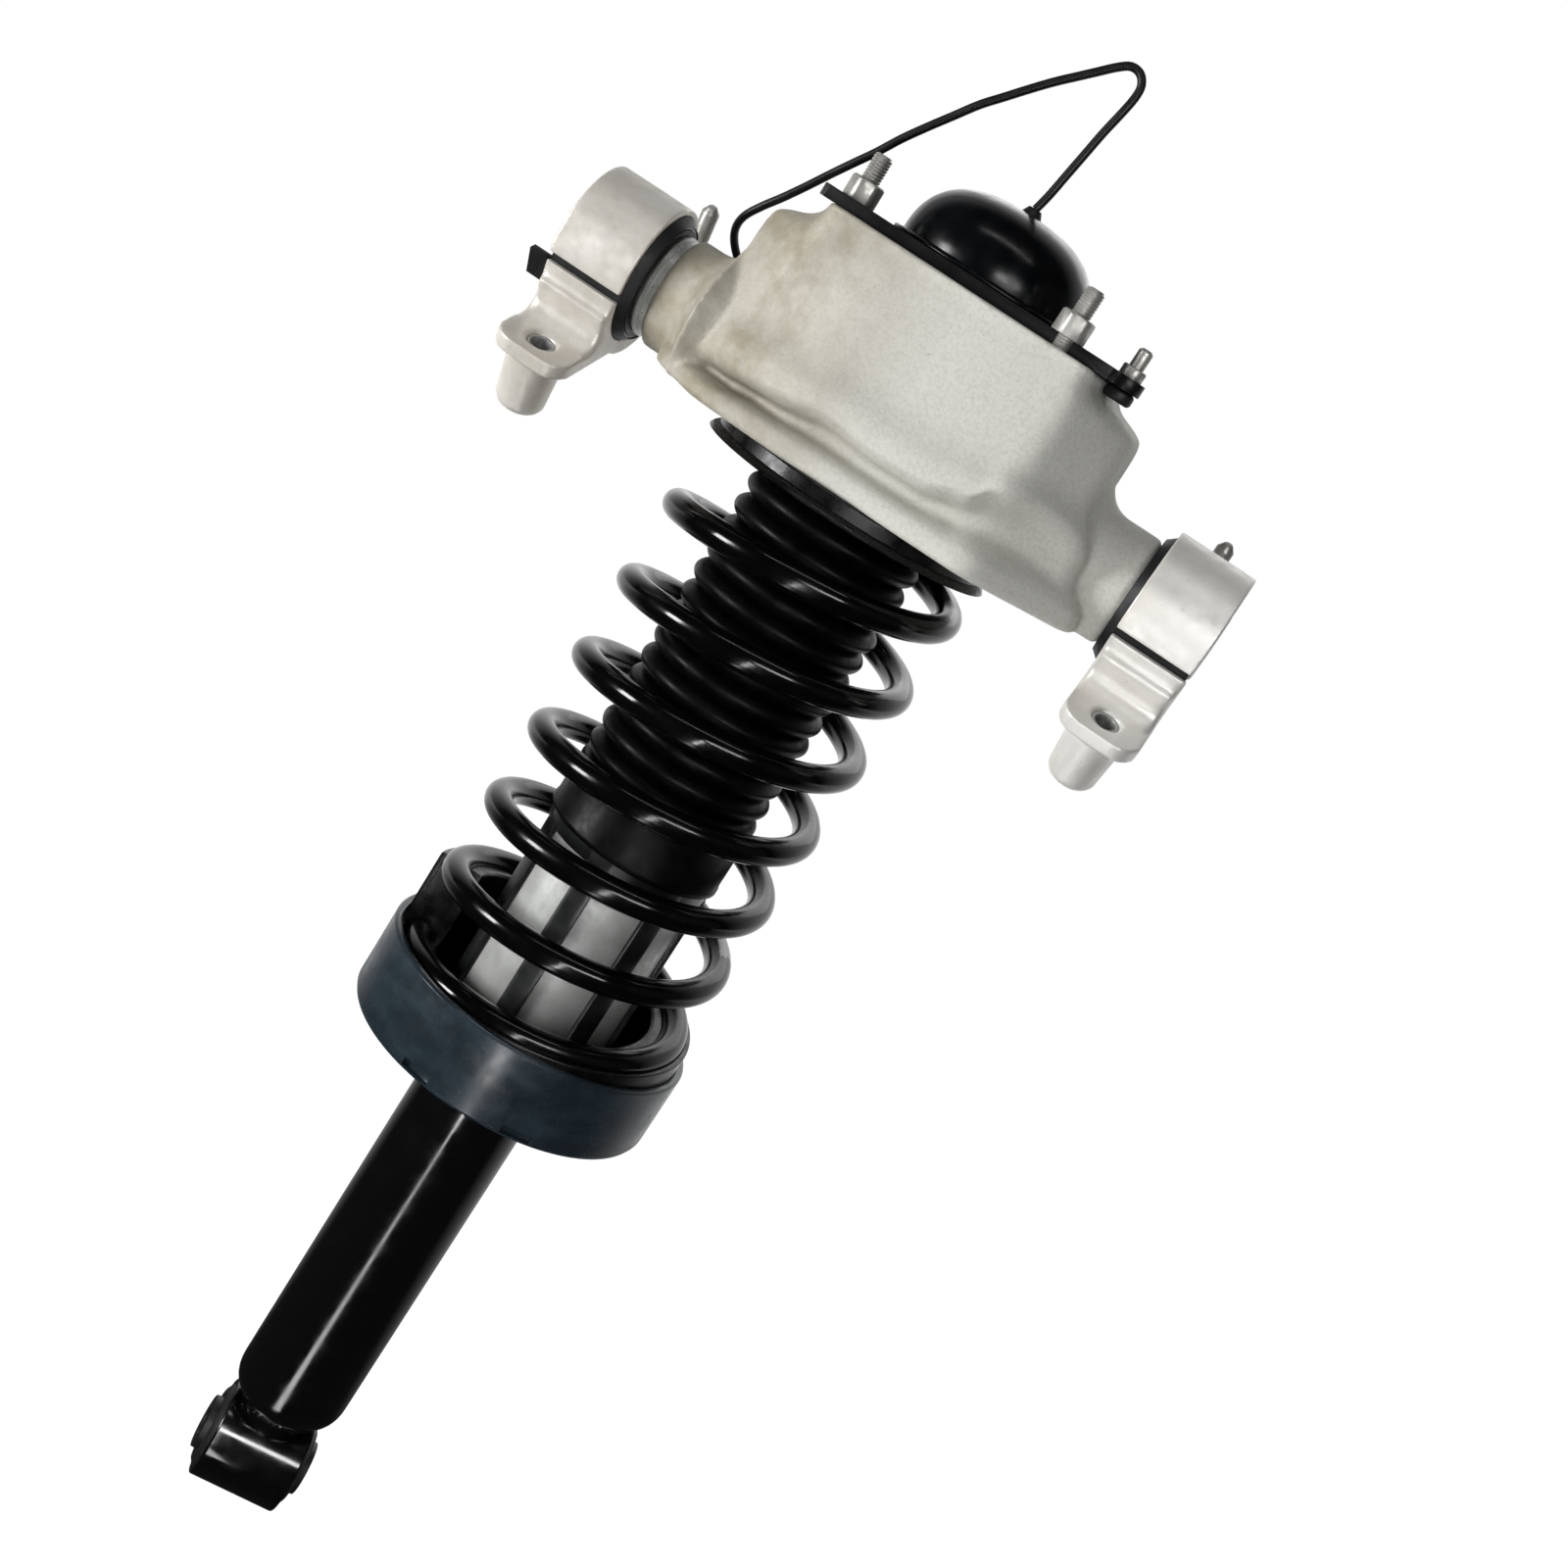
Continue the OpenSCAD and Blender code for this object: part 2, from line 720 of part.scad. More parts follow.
// Strain relief: fills the hole in the dome and reaches down to the rod's end
module cable_grommet() {
    color("#1c1d1f")
        turned([[0, rod_top], [3, rod_top], [3, dome_top - dome_wall - 1.5],
            [dome_hole_r + 1.5, dome_top - dome_wall - 1.2],
            [dome_hole_r, dome_top - dome_wall], [dome_hole_r, dome_top],
            [cable_d / 2 + 1, dome_top + grommet_h], [0, dome_top + grommet_h]]);
}

// Where the cable ends: the top of the connector behind the left shoulder
connector_at = [-85, 49];
connector_top = 2;
connector_size = [13, 11];
plug_size = [10, 8];
plug_h = 11;
strap_t = 1.5;

// The cable's route, from the grommet over its loop and down to the connector,
// heights counted from the trunnion axis
cable_route = [[0, 0, cast_rise + plate_t + dome_h + grommet_h],
    [1.5, 0.5, 110], [3, 1, 120], [4.5, 1.5, 130], [6, 2, 140], [8, 2, 150], [9, 2.5, 157],
    [8.5, 3, 162], [5.5, 3.5, 165.5], [1, 4, 166], [-3.5, 4, 163], [-9, 4.5, 158],
    [-15, 5, 152.5], [-21, 5.5, 147], [-28, 6.5, 140], [-35, 7, 132.5], [-42, 7.5, 125],
    [-49, 8.5, 116], [-55.5, 9, 107.5], [-62, 9.5, 98.5], [-68, 10, 89], [-74, 10.5, 80.5],
    [-80, 11.5, 72], [-86, 12, 63], [-92, 12.5, 54.5], [-98, 14, 47], [-103, 17, 40],
    [-105, 22, 34], [-104, 28, 28.5], [-100.5, 34.5, 23], [-95.5, 40.5, 18], [-90, 45.5, 13],
    [-86, 48.5, 8], [connector_at[0], connector_at[1], connector_top]];

module damper_cable() {
    color("#131416")
        swept([for (p = cable_route) p + [0, 0, trunnion_h]], cable_d / 2, 8);
}

module connector_place() {
    translate([connector_at[0], connector_at[1], cast_under])
        children();
}

// Sealed connector: its shoulder sits on the strap and its mating end hangs below
module cable_connector() {
    body_h = connector_top + cast_drop;
    neck_h = 6;
    color("#2a2b2e")
        connector_place() {
            translate([0, 0, (body_h - neck_h) / 2])
                cube([connector_size[0], connector_size[1], body_h - neck_h], center = true);
            translate([0, 0, body_h - neck_h])
                cylinder(r1 = 5, r2 = cable_d / 2 + 1.2, h = neck_h, $fn = fine);
            translate([0, 0, -plug_h / 2])
                difference() {
                    cube([plug_size[0], plug_size[1], plug_h], center = true);
                    translate([0, 0, -plug_h / 2])
                        cube([plug_size[0] - 3, plug_size[1] - 3, plug_h], center = true);
                }
            // latch rib
            translate([0, connector_size[1] / 2, body_h * 0.3])
                cube([5, 2.6, 9], center = true);
        }
}

// Steel strap under the casting, with a window that the connector's plug end drops into
module connector_clip() {
    arm_w = 9;
    inner_end = [-84, 17];
    rim = 2.5;
    color("silver")
        translate([0, 0, cast_under - strap_t])
            linear_extrude(height = strap_t)
                difference() {
                    union() {
                        hull()
                            for (p = [inner_end, [connector_at[0] + 4, connector_at[1] - 3]])
                                translate(p)
                                    circle(d = arm_w, $fn = 32);
                        translate(connector_at)
                            square([plug_size[0] + 2 * rim, plug_size[1] + 2 * rim], center = true);
                    }
                    translate(connector_at)
                        square(plug_size + [2, 2] * seat_gap, center = true);
                }
}

// ---- top mount, rod and bump stop -----------------------------------------------

washer_t = 3;
core_top = plate_top - 7;
rod_shoulder = chamber_z - 3;
bump_ceiling = chamber_z - chamber_floor;
cup_flange_t = 3;
bump_cup_r = bottom_bore_r - seat_gap;
cup_t = 2.4;
piston_t = 20;
guide_h = 18;
guide_top = tube_top - 9;
piston_h = guide_top - guide_h - rebound_gap - piston_t;

module top_mount_rubber() {
    color("#1c1d1f")
        turned([[core_r, chamber_z + 2], [core_r + 5, chamber_z + 4], [core_r + 10, chamber_z],
            [chamber_r, chamber_z], [chamber_r, cast_top], [plate_hole_r + 1, cast_top],
            [core_r + 9, cast_top - 7], [core_r, cast_top - 4]]);
}

module top_mount_core() {
    color("silver")
        turned([[rod_thread_d / 2, rod_shoulder], [core_r - 2, rod_shoulder],
            [core_r, rod_shoulder + 3], [core_r, core_top - 2], [core_r - 2, core_top],
            [rod_thread_d / 2, core_top]]);
}

module rod_washer() {
    color("silver")
        ring_z(20, rod_thread_d / 2, core_top, core_top + washer_t);
}

module rod_nut() {
    color("silver")
        translate([0, 0, core_top + washer_t])
            hex_nut(19, rod_top - core_top - washer_t - 2, rod_thread_d);
}

module piston_rod() {
    color("whitesmoke")
        turned([[0, piston_h - 12], [rod_thread_d / 2 - 1, piston_h - 12],
            [rod_thread_d / 2, piston_h - 11], [rod_thread_d / 2, piston_h + piston_t],
            [rod_r, piston_h + piston_t], [rod_r, rod_shoulder], [rod_thread_d / 2, rod_shoulder],
            [rod_thread_d / 2, rod_top - 1], [rod_thread_d / 2 - 1, rod_top], [0, rod_top]]);
}

piston_r = cylinder_bore / 2 - run_gap;
band_depth = 0.8;

module piston() {
    color("silver")
        difference() {
            turned([[rod_thread_d / 2, piston_h], [piston_r - 1, piston_h],
                [piston_r - 0.3, piston_h + 1], [piston_r - 0.3, piston_h + 5],
                [piston_r - band_depth, piston_h + 5], [piston_r - band_depth, piston_h + 15],
                [piston_r - 0.3, piston_h + 15], [piston_r - 0.3, piston_h + piston_t - 1],
                [piston_r - 1, piston_h + piston_t], [rod_thread_d / 2, piston_h + piston_t]]);
            for (a = [0:60:300])
                rotate([0, 0, a])
                    translate([(piston_r + rod_thread_d / 2) / 2, 0, piston_h - 1])
                        cylinder(d = 4, h = piston_t + 2, $fn = fine);
        }
}

module piston_band() {
    color("#3a3b3d")
        ring_z(piston_r, piston_r - band_depth, piston_h + 5, piston_h + 15);
}

module piston_nut() {
    color("silver")
        translate([0, 0, piston_h - 9])
            hex_nut(17, 9, rod_thread_d);
}

module bump_stop() {
    waist = 3.5;
    bead = bump_len / 4;
    z1 = bump_ceiling - cup_t;
    z0 = z1 - bump_len;
    bore = rod_r + soft_gap;
    color("#d9cfa8")
        turned(concat([[bore, z0], [bump_r - 7, z0]],
            [for (i = [0:3]) each [[bump_r - (i == 0 ? 4 : 0), z0 + (i + 0.35) * bead],
                [bump_r - (i == 0 ? 3 : 0), z0 + (i + 0.65) * bead],
                [bump_r - (i == 3 ? 0 : waist), z0 + (i + 1) * bead]]],
            [[bore, z1]]));
}

// Cup that caps the bump stop, its flange held against the casting's underside
module bump_stop_cup() {
    skirt = 14;
    color("#26272a")
        turned([[rod_r + 1, bump_ceiling], [bump_cup_r, bump_ceiling],
            [bump_cup_r, cast_under], [bump_cup_r + 13, cast_under],
            [bump_cup_r + 13, cast_under - cup_flange_t], [bump_cup_r, cast_under - cup_flange_t],
            [bump_cup_r, cast_under - skirt], [bump_cup_r - cup_t, cast_under - skirt],
            [bump_cup_r - cup_t, bump_ceiling - cup_t], [rod_r + 1, bump_ceiling - cup_t]]);
}

// ---- coil spring and its isolators -----------------------------------------------

coil_steps = 36;
coil_sides = 8;
coil_low = seat_h + seat_ring_t + lower_iso_t + wire_r;
coil_high = cast_under - upper_iso_t - wire_r;
coil_pitch = (coil_high - coil_low) / coil_turns;
coil_end = coil_start + 360 * coil_turns;
groove_r = wire_r + groove_gap;
// Turn, in degrees, that the wire's end stands clear of the isolator's stop
stop_clear = 4;

function coil_point(a) =
    [coil_r * cos(a), coil_r * sin(a), coil_low + coil_pitch * (a - coil_start) / 360];

coil_path = [for (a = [coil_start + stop_clear : 360 / coil_steps : coil_end]) coil_point(a)];

// Least gap between the wire and the turn after it, measured on the path's points
coil_gap = min([for (i = [0:len(coil_path) - 1],
        j = [i + coil_steps / 2 : min(len(coil_path) - 1, i + 2 * coil_steps)])
        norm(coil_path[i] - coil_path[j])]) - wire_d;

module coil_spring() {
    echo(str("least gap of the coil to itself: ", coil_gap, " mm"));
    color("#101113")
        swept(coil_path, wire_r, coil_sides);
}

iso_steps = 60;

// Ring whose section changes with the angle, from a list of [radius, height] sections
module formed_ring(sections, start) {
    n = len(sections);
    m = len(sections[0]);
    polyhedron([for (i = [0:n - 1], p = reversed(sections[i]))
            let (a = start + 360 * i / n) [p[0] * cos(a), p[0] * sin(a), p[1]]],
        skin(n, m, true), 4);
}

// Section of the lower isolator where the wire's centre is at height z
function lower_section(z) =
    let (inner = coil_r - iso_inner_w, outer = cup_r - cup_wall - soft_gap,
        base = seat_h + seat_ring_t)
    concat([[inner, base], [outer, base], [outer, z - 1.5], [outer - 1.2, z]],
        [for (a = [0:-30:-180]) [coil_r + groove_r * cos(a), z + groove_r * sin(a)]],
        [[inner + 1.5, z], [inner, z - 2]]);

module lower_isolator() {
    color("#151618")
        formed_ring([for (i = [0:iso_steps - 1])
            lower_section(coil_low + coil_pitch * i / iso_steps)], coil_start);
}

// Turn over which the upper isolator follows the wire down from its upper end
upper_ramp = 100;

function upper_section(z) =
    let (inner = coil_r - iso_inner_w, outer = coil_r + groove_r + 0.8)
    concat([[outer, cast_under], [inner, cast_under], [inner, z + 3.5]],
        [for (a = [150:-30:30]) [coil_r + groove_r * cos(a), z + groove_r * sin(a)]],
        [[outer, z + 2.5]]);

module upper_isolator() {
    color("#151618")
        formed_ring([for (i = [0:iso_steps - 1])
            let (back = i * 360 / iso_steps)
            upper_section(coil_high - (back > 360 - upper_ramp ?
                coil_pitch * (360 - stop_clear - back) / 360 : 0))], coil_end + stop_clear);
}

// ---- dust boot ------------------------------------------------------------------

boot_top = cast_under - cup_flange_t;
// The plain collar laps over the head of the cage
collar_lap = 18;
collar_bottom = cage_top - collar_lap;
collar_top = collar_bottom + collar_h;
fold_pitch = (boot_top - collar_top) / fold_count;

// Outline of the folds from the top down: narrow roots and full crests
function fold_line(shift) =
    [for (i = [0:fold_count - 1]) let (z = boot_top - i * fold_pitch) each [
        [boot_r - fold_depth - shift, z - fold_pitch * 0.08],
        [boot_r - 1.2 - shift, z - fold_pitch * 0.3],
        [boot_r - shift, z - fold_pitch * 0.5],
        [boot_r - 1.2 - shift, z - fold_pitch * 0.7],
        [boot_r - fold_depth - shift, z - fold_pitch * 0.92]]];

module dust_boot() {
    collar_r = sleeve_r + 3.6;
    color("#17181a")
        turned(concat([[bump_cup_r + soft_gap, boot_top],
            [boot_r - fold_depth, boot_top]], fold_line(0),
            [[collar_r, collar_top], [collar_r, collar_bottom],
            [collar_r - boot_wall, collar_bottom], [collar_r - boot_wall, collar_top - 1]],
            reversed(fold_line(boot_wall)),
            [[bump_cup_r + soft_gap, boot_top - 2]]));
}

// ---- damper ---------------------------------------------------------------------

tube_bore_r = tube_r - tube_wall;
seal_h = 5;
cap_t = 4;
valve_h = 15;
tube_floor = 3;

module damper_tube() {
    color("#0e0f11")
        turned(concat([[0, tube_bottom]],
            [for (a = [0:15:90])
                [tube_r + tube_edge * (sin(a) - 1), tube_bottom + tube_edge * (1 - cos(a))]],
            [[tube_r, tube_top], [tube_bore_r, tube_top], [tube_bore_r, tube_bottom + tube_edge],
            [tube_r - tube_edge, tube_bottom + tube_floor], [0, tube_bottom + tube_floor]]));
}

module inner_cylinder() {
    color("silver")
        ring_z(cylinder_bore / 2 + 2, cylinder_bore / 2, tube_bottom + tube_edge + valve_h,
            guide_top - guide_h + 3);
}

module rod_guide() {
    color("silver")
        turned([[rod_r + run_gap, guide_top - guide_h], [cylinder_bore / 2 - run_gap, guide_top - guide_h],
            [cylinder_bore / 2 - run_gap, guide_top - guide_h + 3],
            [tube_bore_r - run_gap, guide_top - guide_h + 3],
            [tube_bore_r - run_gap, guide_top], [rod_r + run_gap, guide_top]]);
}

module rod_seal() {
    color("#1c1d1f")
        turned([[rod_r + run_gap, guide_top], [tube_bore_r - run_gap, guide_top],
            [tube_bore_r - run_gap, guide_top + seal_h], [rod_r + 3, guide_top + seal_h],
            [rod_r + run_gap, guide_top + seal_h - 2]]);
}

module striker_cap() {
    cap_r = tube_r + 1.8;
    color("#26272a")
        turned([[rod_r + 0.6, tube_top], [tube_r + seat_gap, tube_top],
            [tube_r + seat_gap, tube_top - 8], [cap_r, tube_top - 8], [cap_r, tube_top + cap_t - 2],
            [cap_r - 2, tube_top + cap_t], [rod_r + 0.6, tube_top + cap_t]]);
}

module base_valve() {
    color("silver")
        difference() {
            turned([[0, tube_bottom + tube_edge], [tube_bore_r - 3, tube_bottom + tube_edge],
                [tube_bore_r - run_gap, tube_bottom + tube_edge + 3],
                [tube_bore_r - run_gap, tube_bottom + tube_edge + valve_h],
                [cylinder_bore / 2 - run_gap, tube_bottom + tube_edge + valve_h],
                [cylinder_bore / 2 - run_gap, tube_bottom + tube_edge + valve_h + 3],
                [0, tube_bottom + tube_edge + valve_h + 3]]);
            for (a = [0:90:270])
                rotate([0, 0, a])
                    translate([9, 0, tube_bottom + tube_edge - 1])
                        cylinder(d = 5, h = valve_h + 6, $fn = fine);
        }
}

// ---- sleeve, cage and lower seat ---------------------------------------------------

module zinc_sleeve() {
    color("lightgray")
        ring_z(sleeve_r, sleeve_r - sleeve_wall, seat_h + seat_ring_t, tube_top);
}

module sleeve_cage() {
    inner = sleeve_r + seat_gap * 3;
    outer = sleeve_r + 2.2 - soft_gap;
    base_z = seat_h + seat_ring_t;
    base_h = 7;
    foot = 12;
    color("#18191b") {
        ring_z(coil_r - iso_inner_w - seat_gap * 3, inner, base_z, base_z + base_h);
        ring_z(outer, inner, cage_top - 24, cage_top);
        intersection() {
            ring_z(outer + 0.6, inner, base_z + base_h - 1, cage_top - 23);
            for (i = [0:rib_count - 1])
                rotate([0, 0, rib_phase + 360 * i / rib_count])
                    rotate([90, 0, 90])
                        linear_extrude(height = outer + 5)
                            polygon([[-rib_w / 2 - 4, base_z], [rib_w / 2 + 4, base_z],
                                [rib_w / 2, base_z + base_h + foot], [rib_w / 2, cage_top],
                                [-rib_w / 2, cage_top], [-rib_w / 2, base_z + base_h + foot]]);
        }
    }
}

module seat_ring() {
    color("#17181a")
        turned([[tube_r, seat_h - hub_h], [hub_r - 1.5, seat_h - hub_h],
            [hub_r, seat_h - hub_h + 1.5], [hub_r, seat_h], [cup_r - cup_wall - seat_gap, seat_h],
            [cup_r - cup_wall - seat_gap, seat_h + seat_ring_t], [tube_r, seat_h + seat_ring_t]]);
}

module seat_circlip() {
    color("dimgray")
        ring_z(tube_r + 3.2, tube_r, seat_h - hub_h - circlip_t, seat_h - hub_h);
}

module seat_cup() {
    slot_w = 14;
    slot_h = 4;
    skirt = 6;
    rim = 1;
    color("#333a42")
        difference() {
            turned([[hub_r + seat_gap, seat_h - cup_wall], [cup_r - cup_wall - 1, seat_h - cup_wall],
                [cup_r - cup_wall - 1, seat_h - skirt], [cup_r - 3, seat_h - skirt],
                [cup_r - 1, seat_h - skirt + 0.9], [cup_r, seat_h - skirt + 3],
                [cup_r, seat_h - skirt + cup_h - rim], [cup_r - rim, seat_h - skirt + cup_h],
                [cup_r - cup_wall, seat_h - skirt + cup_h], [cup_r - cup_wall, seat_h],
                [hub_r + seat_gap, seat_h]]);
            for (a = slot_angles)
                rotate([0, 0, a])
                    translate([cup_r, 0, seat_h - slot_h / 2])
                        cube([2 * cup_wall, slot_w, slot_h], center = true);
        }
}

// ---- lower eye ------------------------------------------------------------------

module eye_frame() {
    rotate([0, 0, eye_yaw])
        rotate([0, 90, 0])
            children();
}

eye_bore_r = eye_r - 3;

module lower_eye() {
    neck = 17;
    color("#0e0f11")
        difference() {
            union() {
                eye_frame()
                    cylinder(r = eye_r, h = eye_w, center = true, $fn = smooth);
                turned([[0, 0], [neck, 0], [neck, tube_bottom - 7],
                    [neck + 2.5, tube_bottom], [0, tube_bottom]]);
            }
            eye_frame()
                cylinder(r = eye_bore_r, h = eye_w + 20, center = true, $fn = smooth);
        }
}

module eye_rubber() {
    lip = 2;
    half = eye_w / 2;
    inner = eye_sleeve_r + run_gap;
    color("#1c1d1f")
        eye_frame()
            turned([[inner, -half - lip], [eye_bore_r - 3, -half - lip], [eye_bore_r, -half],
                [eye_bore_r, half], [eye_bore_r - 3, half + lip], [inner, half + lip]]);
}

module eye_sleeve() {
    color("#2b2d30")
        eye_frame()
            difference() {
                cylinder(r = eye_sleeve_r, h = eye_sleeve_len, center = true, $fn = smooth);
                cylinder(d = eye_bore_d, h = eye_sleeve_len + 2, center = true, $fn = smooth);
            }
}

// ---- the assembly ------------------------------------------------------------

left_bracket();
right_bracket();
left_outer_rubber();
right_outer_rubber();
left_interleaf();
right_interleaf();
left_inner_rubber();
right_inner_rubber();
bracket_studs();
ear_inserts();
mount_casting();
left_trunnion_sleeve();
right_trunnion_sleeve();
top_plate();
top_studs();
top_nuts();
small_stud();
small_nut();
stud_boot();
dome_cap();
cable_grommet();
damper_cable();
cable_connector();
connector_clip();
top_mount_rubber();
top_mount_core();
rod_washer();
rod_nut();
piston_rod();
piston();
piston_band();
piston_nut();
bump_stop();
bump_stop_cup();
upper_isolator();
coil_spring();
dust_boot();
damper_tube();
inner_cylinder();
rod_guide();
rod_seal();
striker_cap();
base_valve();
zinc_sleeve();
sleeve_cage();
seat_ring();
seat_circlip();
seat_cup();
lower_isolator();
lower_eye();
eye_rubber();
eye_sleeve();
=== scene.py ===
import math

import bmesh
import bpy
from mathutils import Matrix, Vector, noise
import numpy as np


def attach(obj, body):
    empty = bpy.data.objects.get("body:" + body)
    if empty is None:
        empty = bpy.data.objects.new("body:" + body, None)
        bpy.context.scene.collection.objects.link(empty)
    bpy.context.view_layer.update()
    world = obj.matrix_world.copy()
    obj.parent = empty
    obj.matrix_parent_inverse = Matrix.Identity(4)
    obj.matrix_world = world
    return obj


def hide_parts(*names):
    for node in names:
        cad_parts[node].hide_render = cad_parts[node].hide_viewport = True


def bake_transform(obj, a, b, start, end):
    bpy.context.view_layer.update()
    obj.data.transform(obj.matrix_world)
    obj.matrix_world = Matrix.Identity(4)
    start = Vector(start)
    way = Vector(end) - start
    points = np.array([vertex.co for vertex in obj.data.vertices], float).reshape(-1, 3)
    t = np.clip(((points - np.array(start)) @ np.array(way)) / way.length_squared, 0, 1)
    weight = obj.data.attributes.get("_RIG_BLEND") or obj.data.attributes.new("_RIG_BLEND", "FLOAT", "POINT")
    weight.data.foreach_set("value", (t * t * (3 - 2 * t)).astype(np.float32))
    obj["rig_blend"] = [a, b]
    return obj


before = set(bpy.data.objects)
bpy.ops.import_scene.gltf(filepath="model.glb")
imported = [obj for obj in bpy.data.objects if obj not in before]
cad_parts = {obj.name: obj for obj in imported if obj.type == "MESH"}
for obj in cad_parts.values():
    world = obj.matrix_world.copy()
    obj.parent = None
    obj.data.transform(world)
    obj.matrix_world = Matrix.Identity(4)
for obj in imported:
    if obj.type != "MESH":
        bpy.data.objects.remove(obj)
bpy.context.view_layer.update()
mm = 0.001
trunnionHeight = 545  # mm above the lower eye
print("frame loaded")


def hexColour(code):
    # sRGB hex to linear RGBA
    parts = [int(code[i:i + 2], 16) / 255 for i in (1, 3, 5)]
    linear = [c / 12.92 if c <= 0.04045 else ((c + 0.055) / 1.055) ** 2.4 for c in parts]
    return (*linear, 1)


def addNode(tree, kind, inputs=None, **settings):
    # a node with its settings; an input is a value, or the socket or node that feeds it
    made = tree.nodes.new(kind)
    for key, value in settings.items():
        setattr(made, key, value)
    for key, value in (inputs or {}).items():
        if isinstance(value, bpy.types.Node):
            value = value.outputs[0]
        if isinstance(value, bpy.types.NodeSocket):
            tree.links.new(value, made.inputs[key])
        else:
            made.inputs[key].default_value = value
    return made


def picked(values, *keys):
    return [values[key] for key in keys]


def newPiece(name, points, faces, material=None, smoothAngle=40):
    mesh = bpy.data.meshes.new(name)
    mesh.from_pydata([tuple(p) for p in points], [], faces)
    mesh.validate()
    return placePiece(name, mesh, material, smoothAngle)


def placePiece(name, mesh, material=None, smoothAngle=40):
    piece = bpy.data.objects.new(name, mesh)
    bpy.context.scene.collection.objects.link(piece)
    if material:
        mesh.materials.clear()
        mesh.materials.append(material)
    softShade(mesh, smoothAngle)
    return piece


def softShade(mesh, angle):
    mesh.polygons.foreach_set("use_smooth", [True] * len(mesh.polygons))
    mesh.set_sharp_from_angle(angle=math.radians(angle))
    mesh.update()


def baked(piece, smoothAngle=None):
    # applies a piece's modifiers and leaves a plain mesh
    evaluated = piece.evaluated_get(bpy.context.evaluated_depsgraph_get())
    mesh = bpy.data.meshes.new_from_object(evaluated)
    piece.modifiers.clear()
    old, piece.data = piece.data, mesh
    bpy.data.meshes.remove(old)
    if smoothAngle:
        softShade(mesh, smoothAngle)
    return piece


def finishPiece(piece, body, slot, *nodes):
    if body:
        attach(piece, body)
    if nodes:
        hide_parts(*nodes)
    return piece


def outward(mesh):
    shape = bmesh.new()
    shape.from_mesh(mesh)
    bmesh.ops.recalc_face_normals(shape, faces=shape.faces)
    shape.to_mesh(mesh)
    shape.free()


def lathe(name, profile, material, sides=128, smoothAngle=40, turn=None):
    # closed outline of (radius, height) in mm, turned about Z
    points, faces, rings = [], [], []
    for radius, height in profile:
        if radius < 1e-6:
            rings.append([len(points)] * sides)
            points.append(Vector((0, 0, height)) * mm)
            continue
        rings.append(list(range(len(points), len(points) + sides)))
        for j in range(sides):
            a = 2 * math.pi * j / sides
            points.append(Vector((radius * math.cos(a), radius * math.sin(a), height)) * mm)
    for i, low in enumerate(rings):
        high = rings[(i + 1) % len(rings)]
        for j in range(sides):
            k = (j + 1) % sides
            face = list(dict.fromkeys((low[j], low[k], high[k], high[j])))
            if len(face) > 2:
                faces.append(face)
    if turn:
        points = [turn @ p for p in points]
    piece = newPiece(name, points, faces, material, smoothAngle)
    outward(piece.data)
    return piece


def skinFaces(count, sides, closed=False):
    # quads between rings of points
    return [(i * sides + j, i * sides + k, n * sides + k, n * sides + j)
            for i, n in ((i, (i + 1) % count) for i in range(count if closed else count - 1))
            for j, k in ((j, (j + 1) % sides) for j in range(sides))]


def roundedOutline(corners, cuts=4):
    # (radius, height, rounding) corners to a closed outline with rounded corners
    outline, count = [], len(corners)
    for i, corner in enumerate(corners):
        b, size = Vector(corner[:2]), corner[2]
        if not size:
            outline.append(tuple(b))
            continue
        before = Vector(corners[i - 1][:2]) - b
        after = Vector(corners[(i + 1) % count][:2]) - b
        reach = min(size, before.length * 0.49, after.length * 0.49)
        p, q = b + before.normalized() * reach, b + after.normalized() * reach
        for k in range(cuts + 1):
            t = k / cuts
            outline.append(tuple(p * (1 - t) ** 2 + b * 2 * t * (1 - t) + q * t * t))
    return outline


def nodeMesh(node, flat=0, reshape=None):
    # a merged copy of a CAD node's mesh; faces within flat degrees become one
    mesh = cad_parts[node].data.copy()
    shape = bmesh.new()
    shape.from_mesh(mesh)
    bmesh.ops.remove_doubles(shape, verts=shape.verts, dist=2e-6)
    if flat:
        bmesh.ops.dissolve_limit(shape, angle_limit=math.radians(flat), verts=shape.verts,
                                 edges=shape.edges)
    for v in shape.verts if reshape else ():
        reshape(v)
    shape.to_mesh(mesh)
    shape.free()
    return mesh


def dressed(name, node, material, body, slot, bevel=0.4, smoothAngle=32, reshape=None):
    # a copy of a CAD node with its edges broken and its round faces smooth
    piece = placePiece(name, nodeMesh(node, 0.6, reshape), material, smoothAngle)
    edge = piece.modifiers.new("brokenEdge", "BEVEL")
    edge.width, edge.segments, edge.limit_method = bevel * mm, 2, "ANGLE"
    edge.angle_limit = math.radians(40)
    edge.use_clamp_overlap = True
    baked(piece, smoothAngle)
    return finishPiece(piece, body, slot, node)


def carve(piece, cutter, operation="DIFFERENCE"):
    step = piece.modifiers.new("carve", "BOOLEAN")
    step.operation, step.object, step.solver = operation, cutter, "EXACT"
    baked(piece)
    bpy.data.objects.remove(cutter)


def remeshed(piece, voxel, smoothing, relief):
    # melts a solid into one skin with soft cast corners; relief is (height, size) in mm
    skin = piece.modifiers.new("castSkin", "REMESH")
    skin.mode, skin.voxel_size = "VOXEL", voxel * mm
    soften = piece.modifiers.new("soften", "SMOOTH")
    soften.factor, soften.iterations = 0.5, smoothing
    baked(piece)
    height, size = relief
    places = [(v.co.copy(), v.normal.copy()) for v in piece.data.vertices]
    moved = []
    for p, normal in places:
        wave = noise.noise(p / (size * mm)) + 0.5 * noise.noise(p / (size * 0.37 * mm))
        moved.extend(p + normal * wave * height * mm)
    piece.data.vertices.foreach_set("co", moved)
    softShade(piece.data, 180)
    return piece


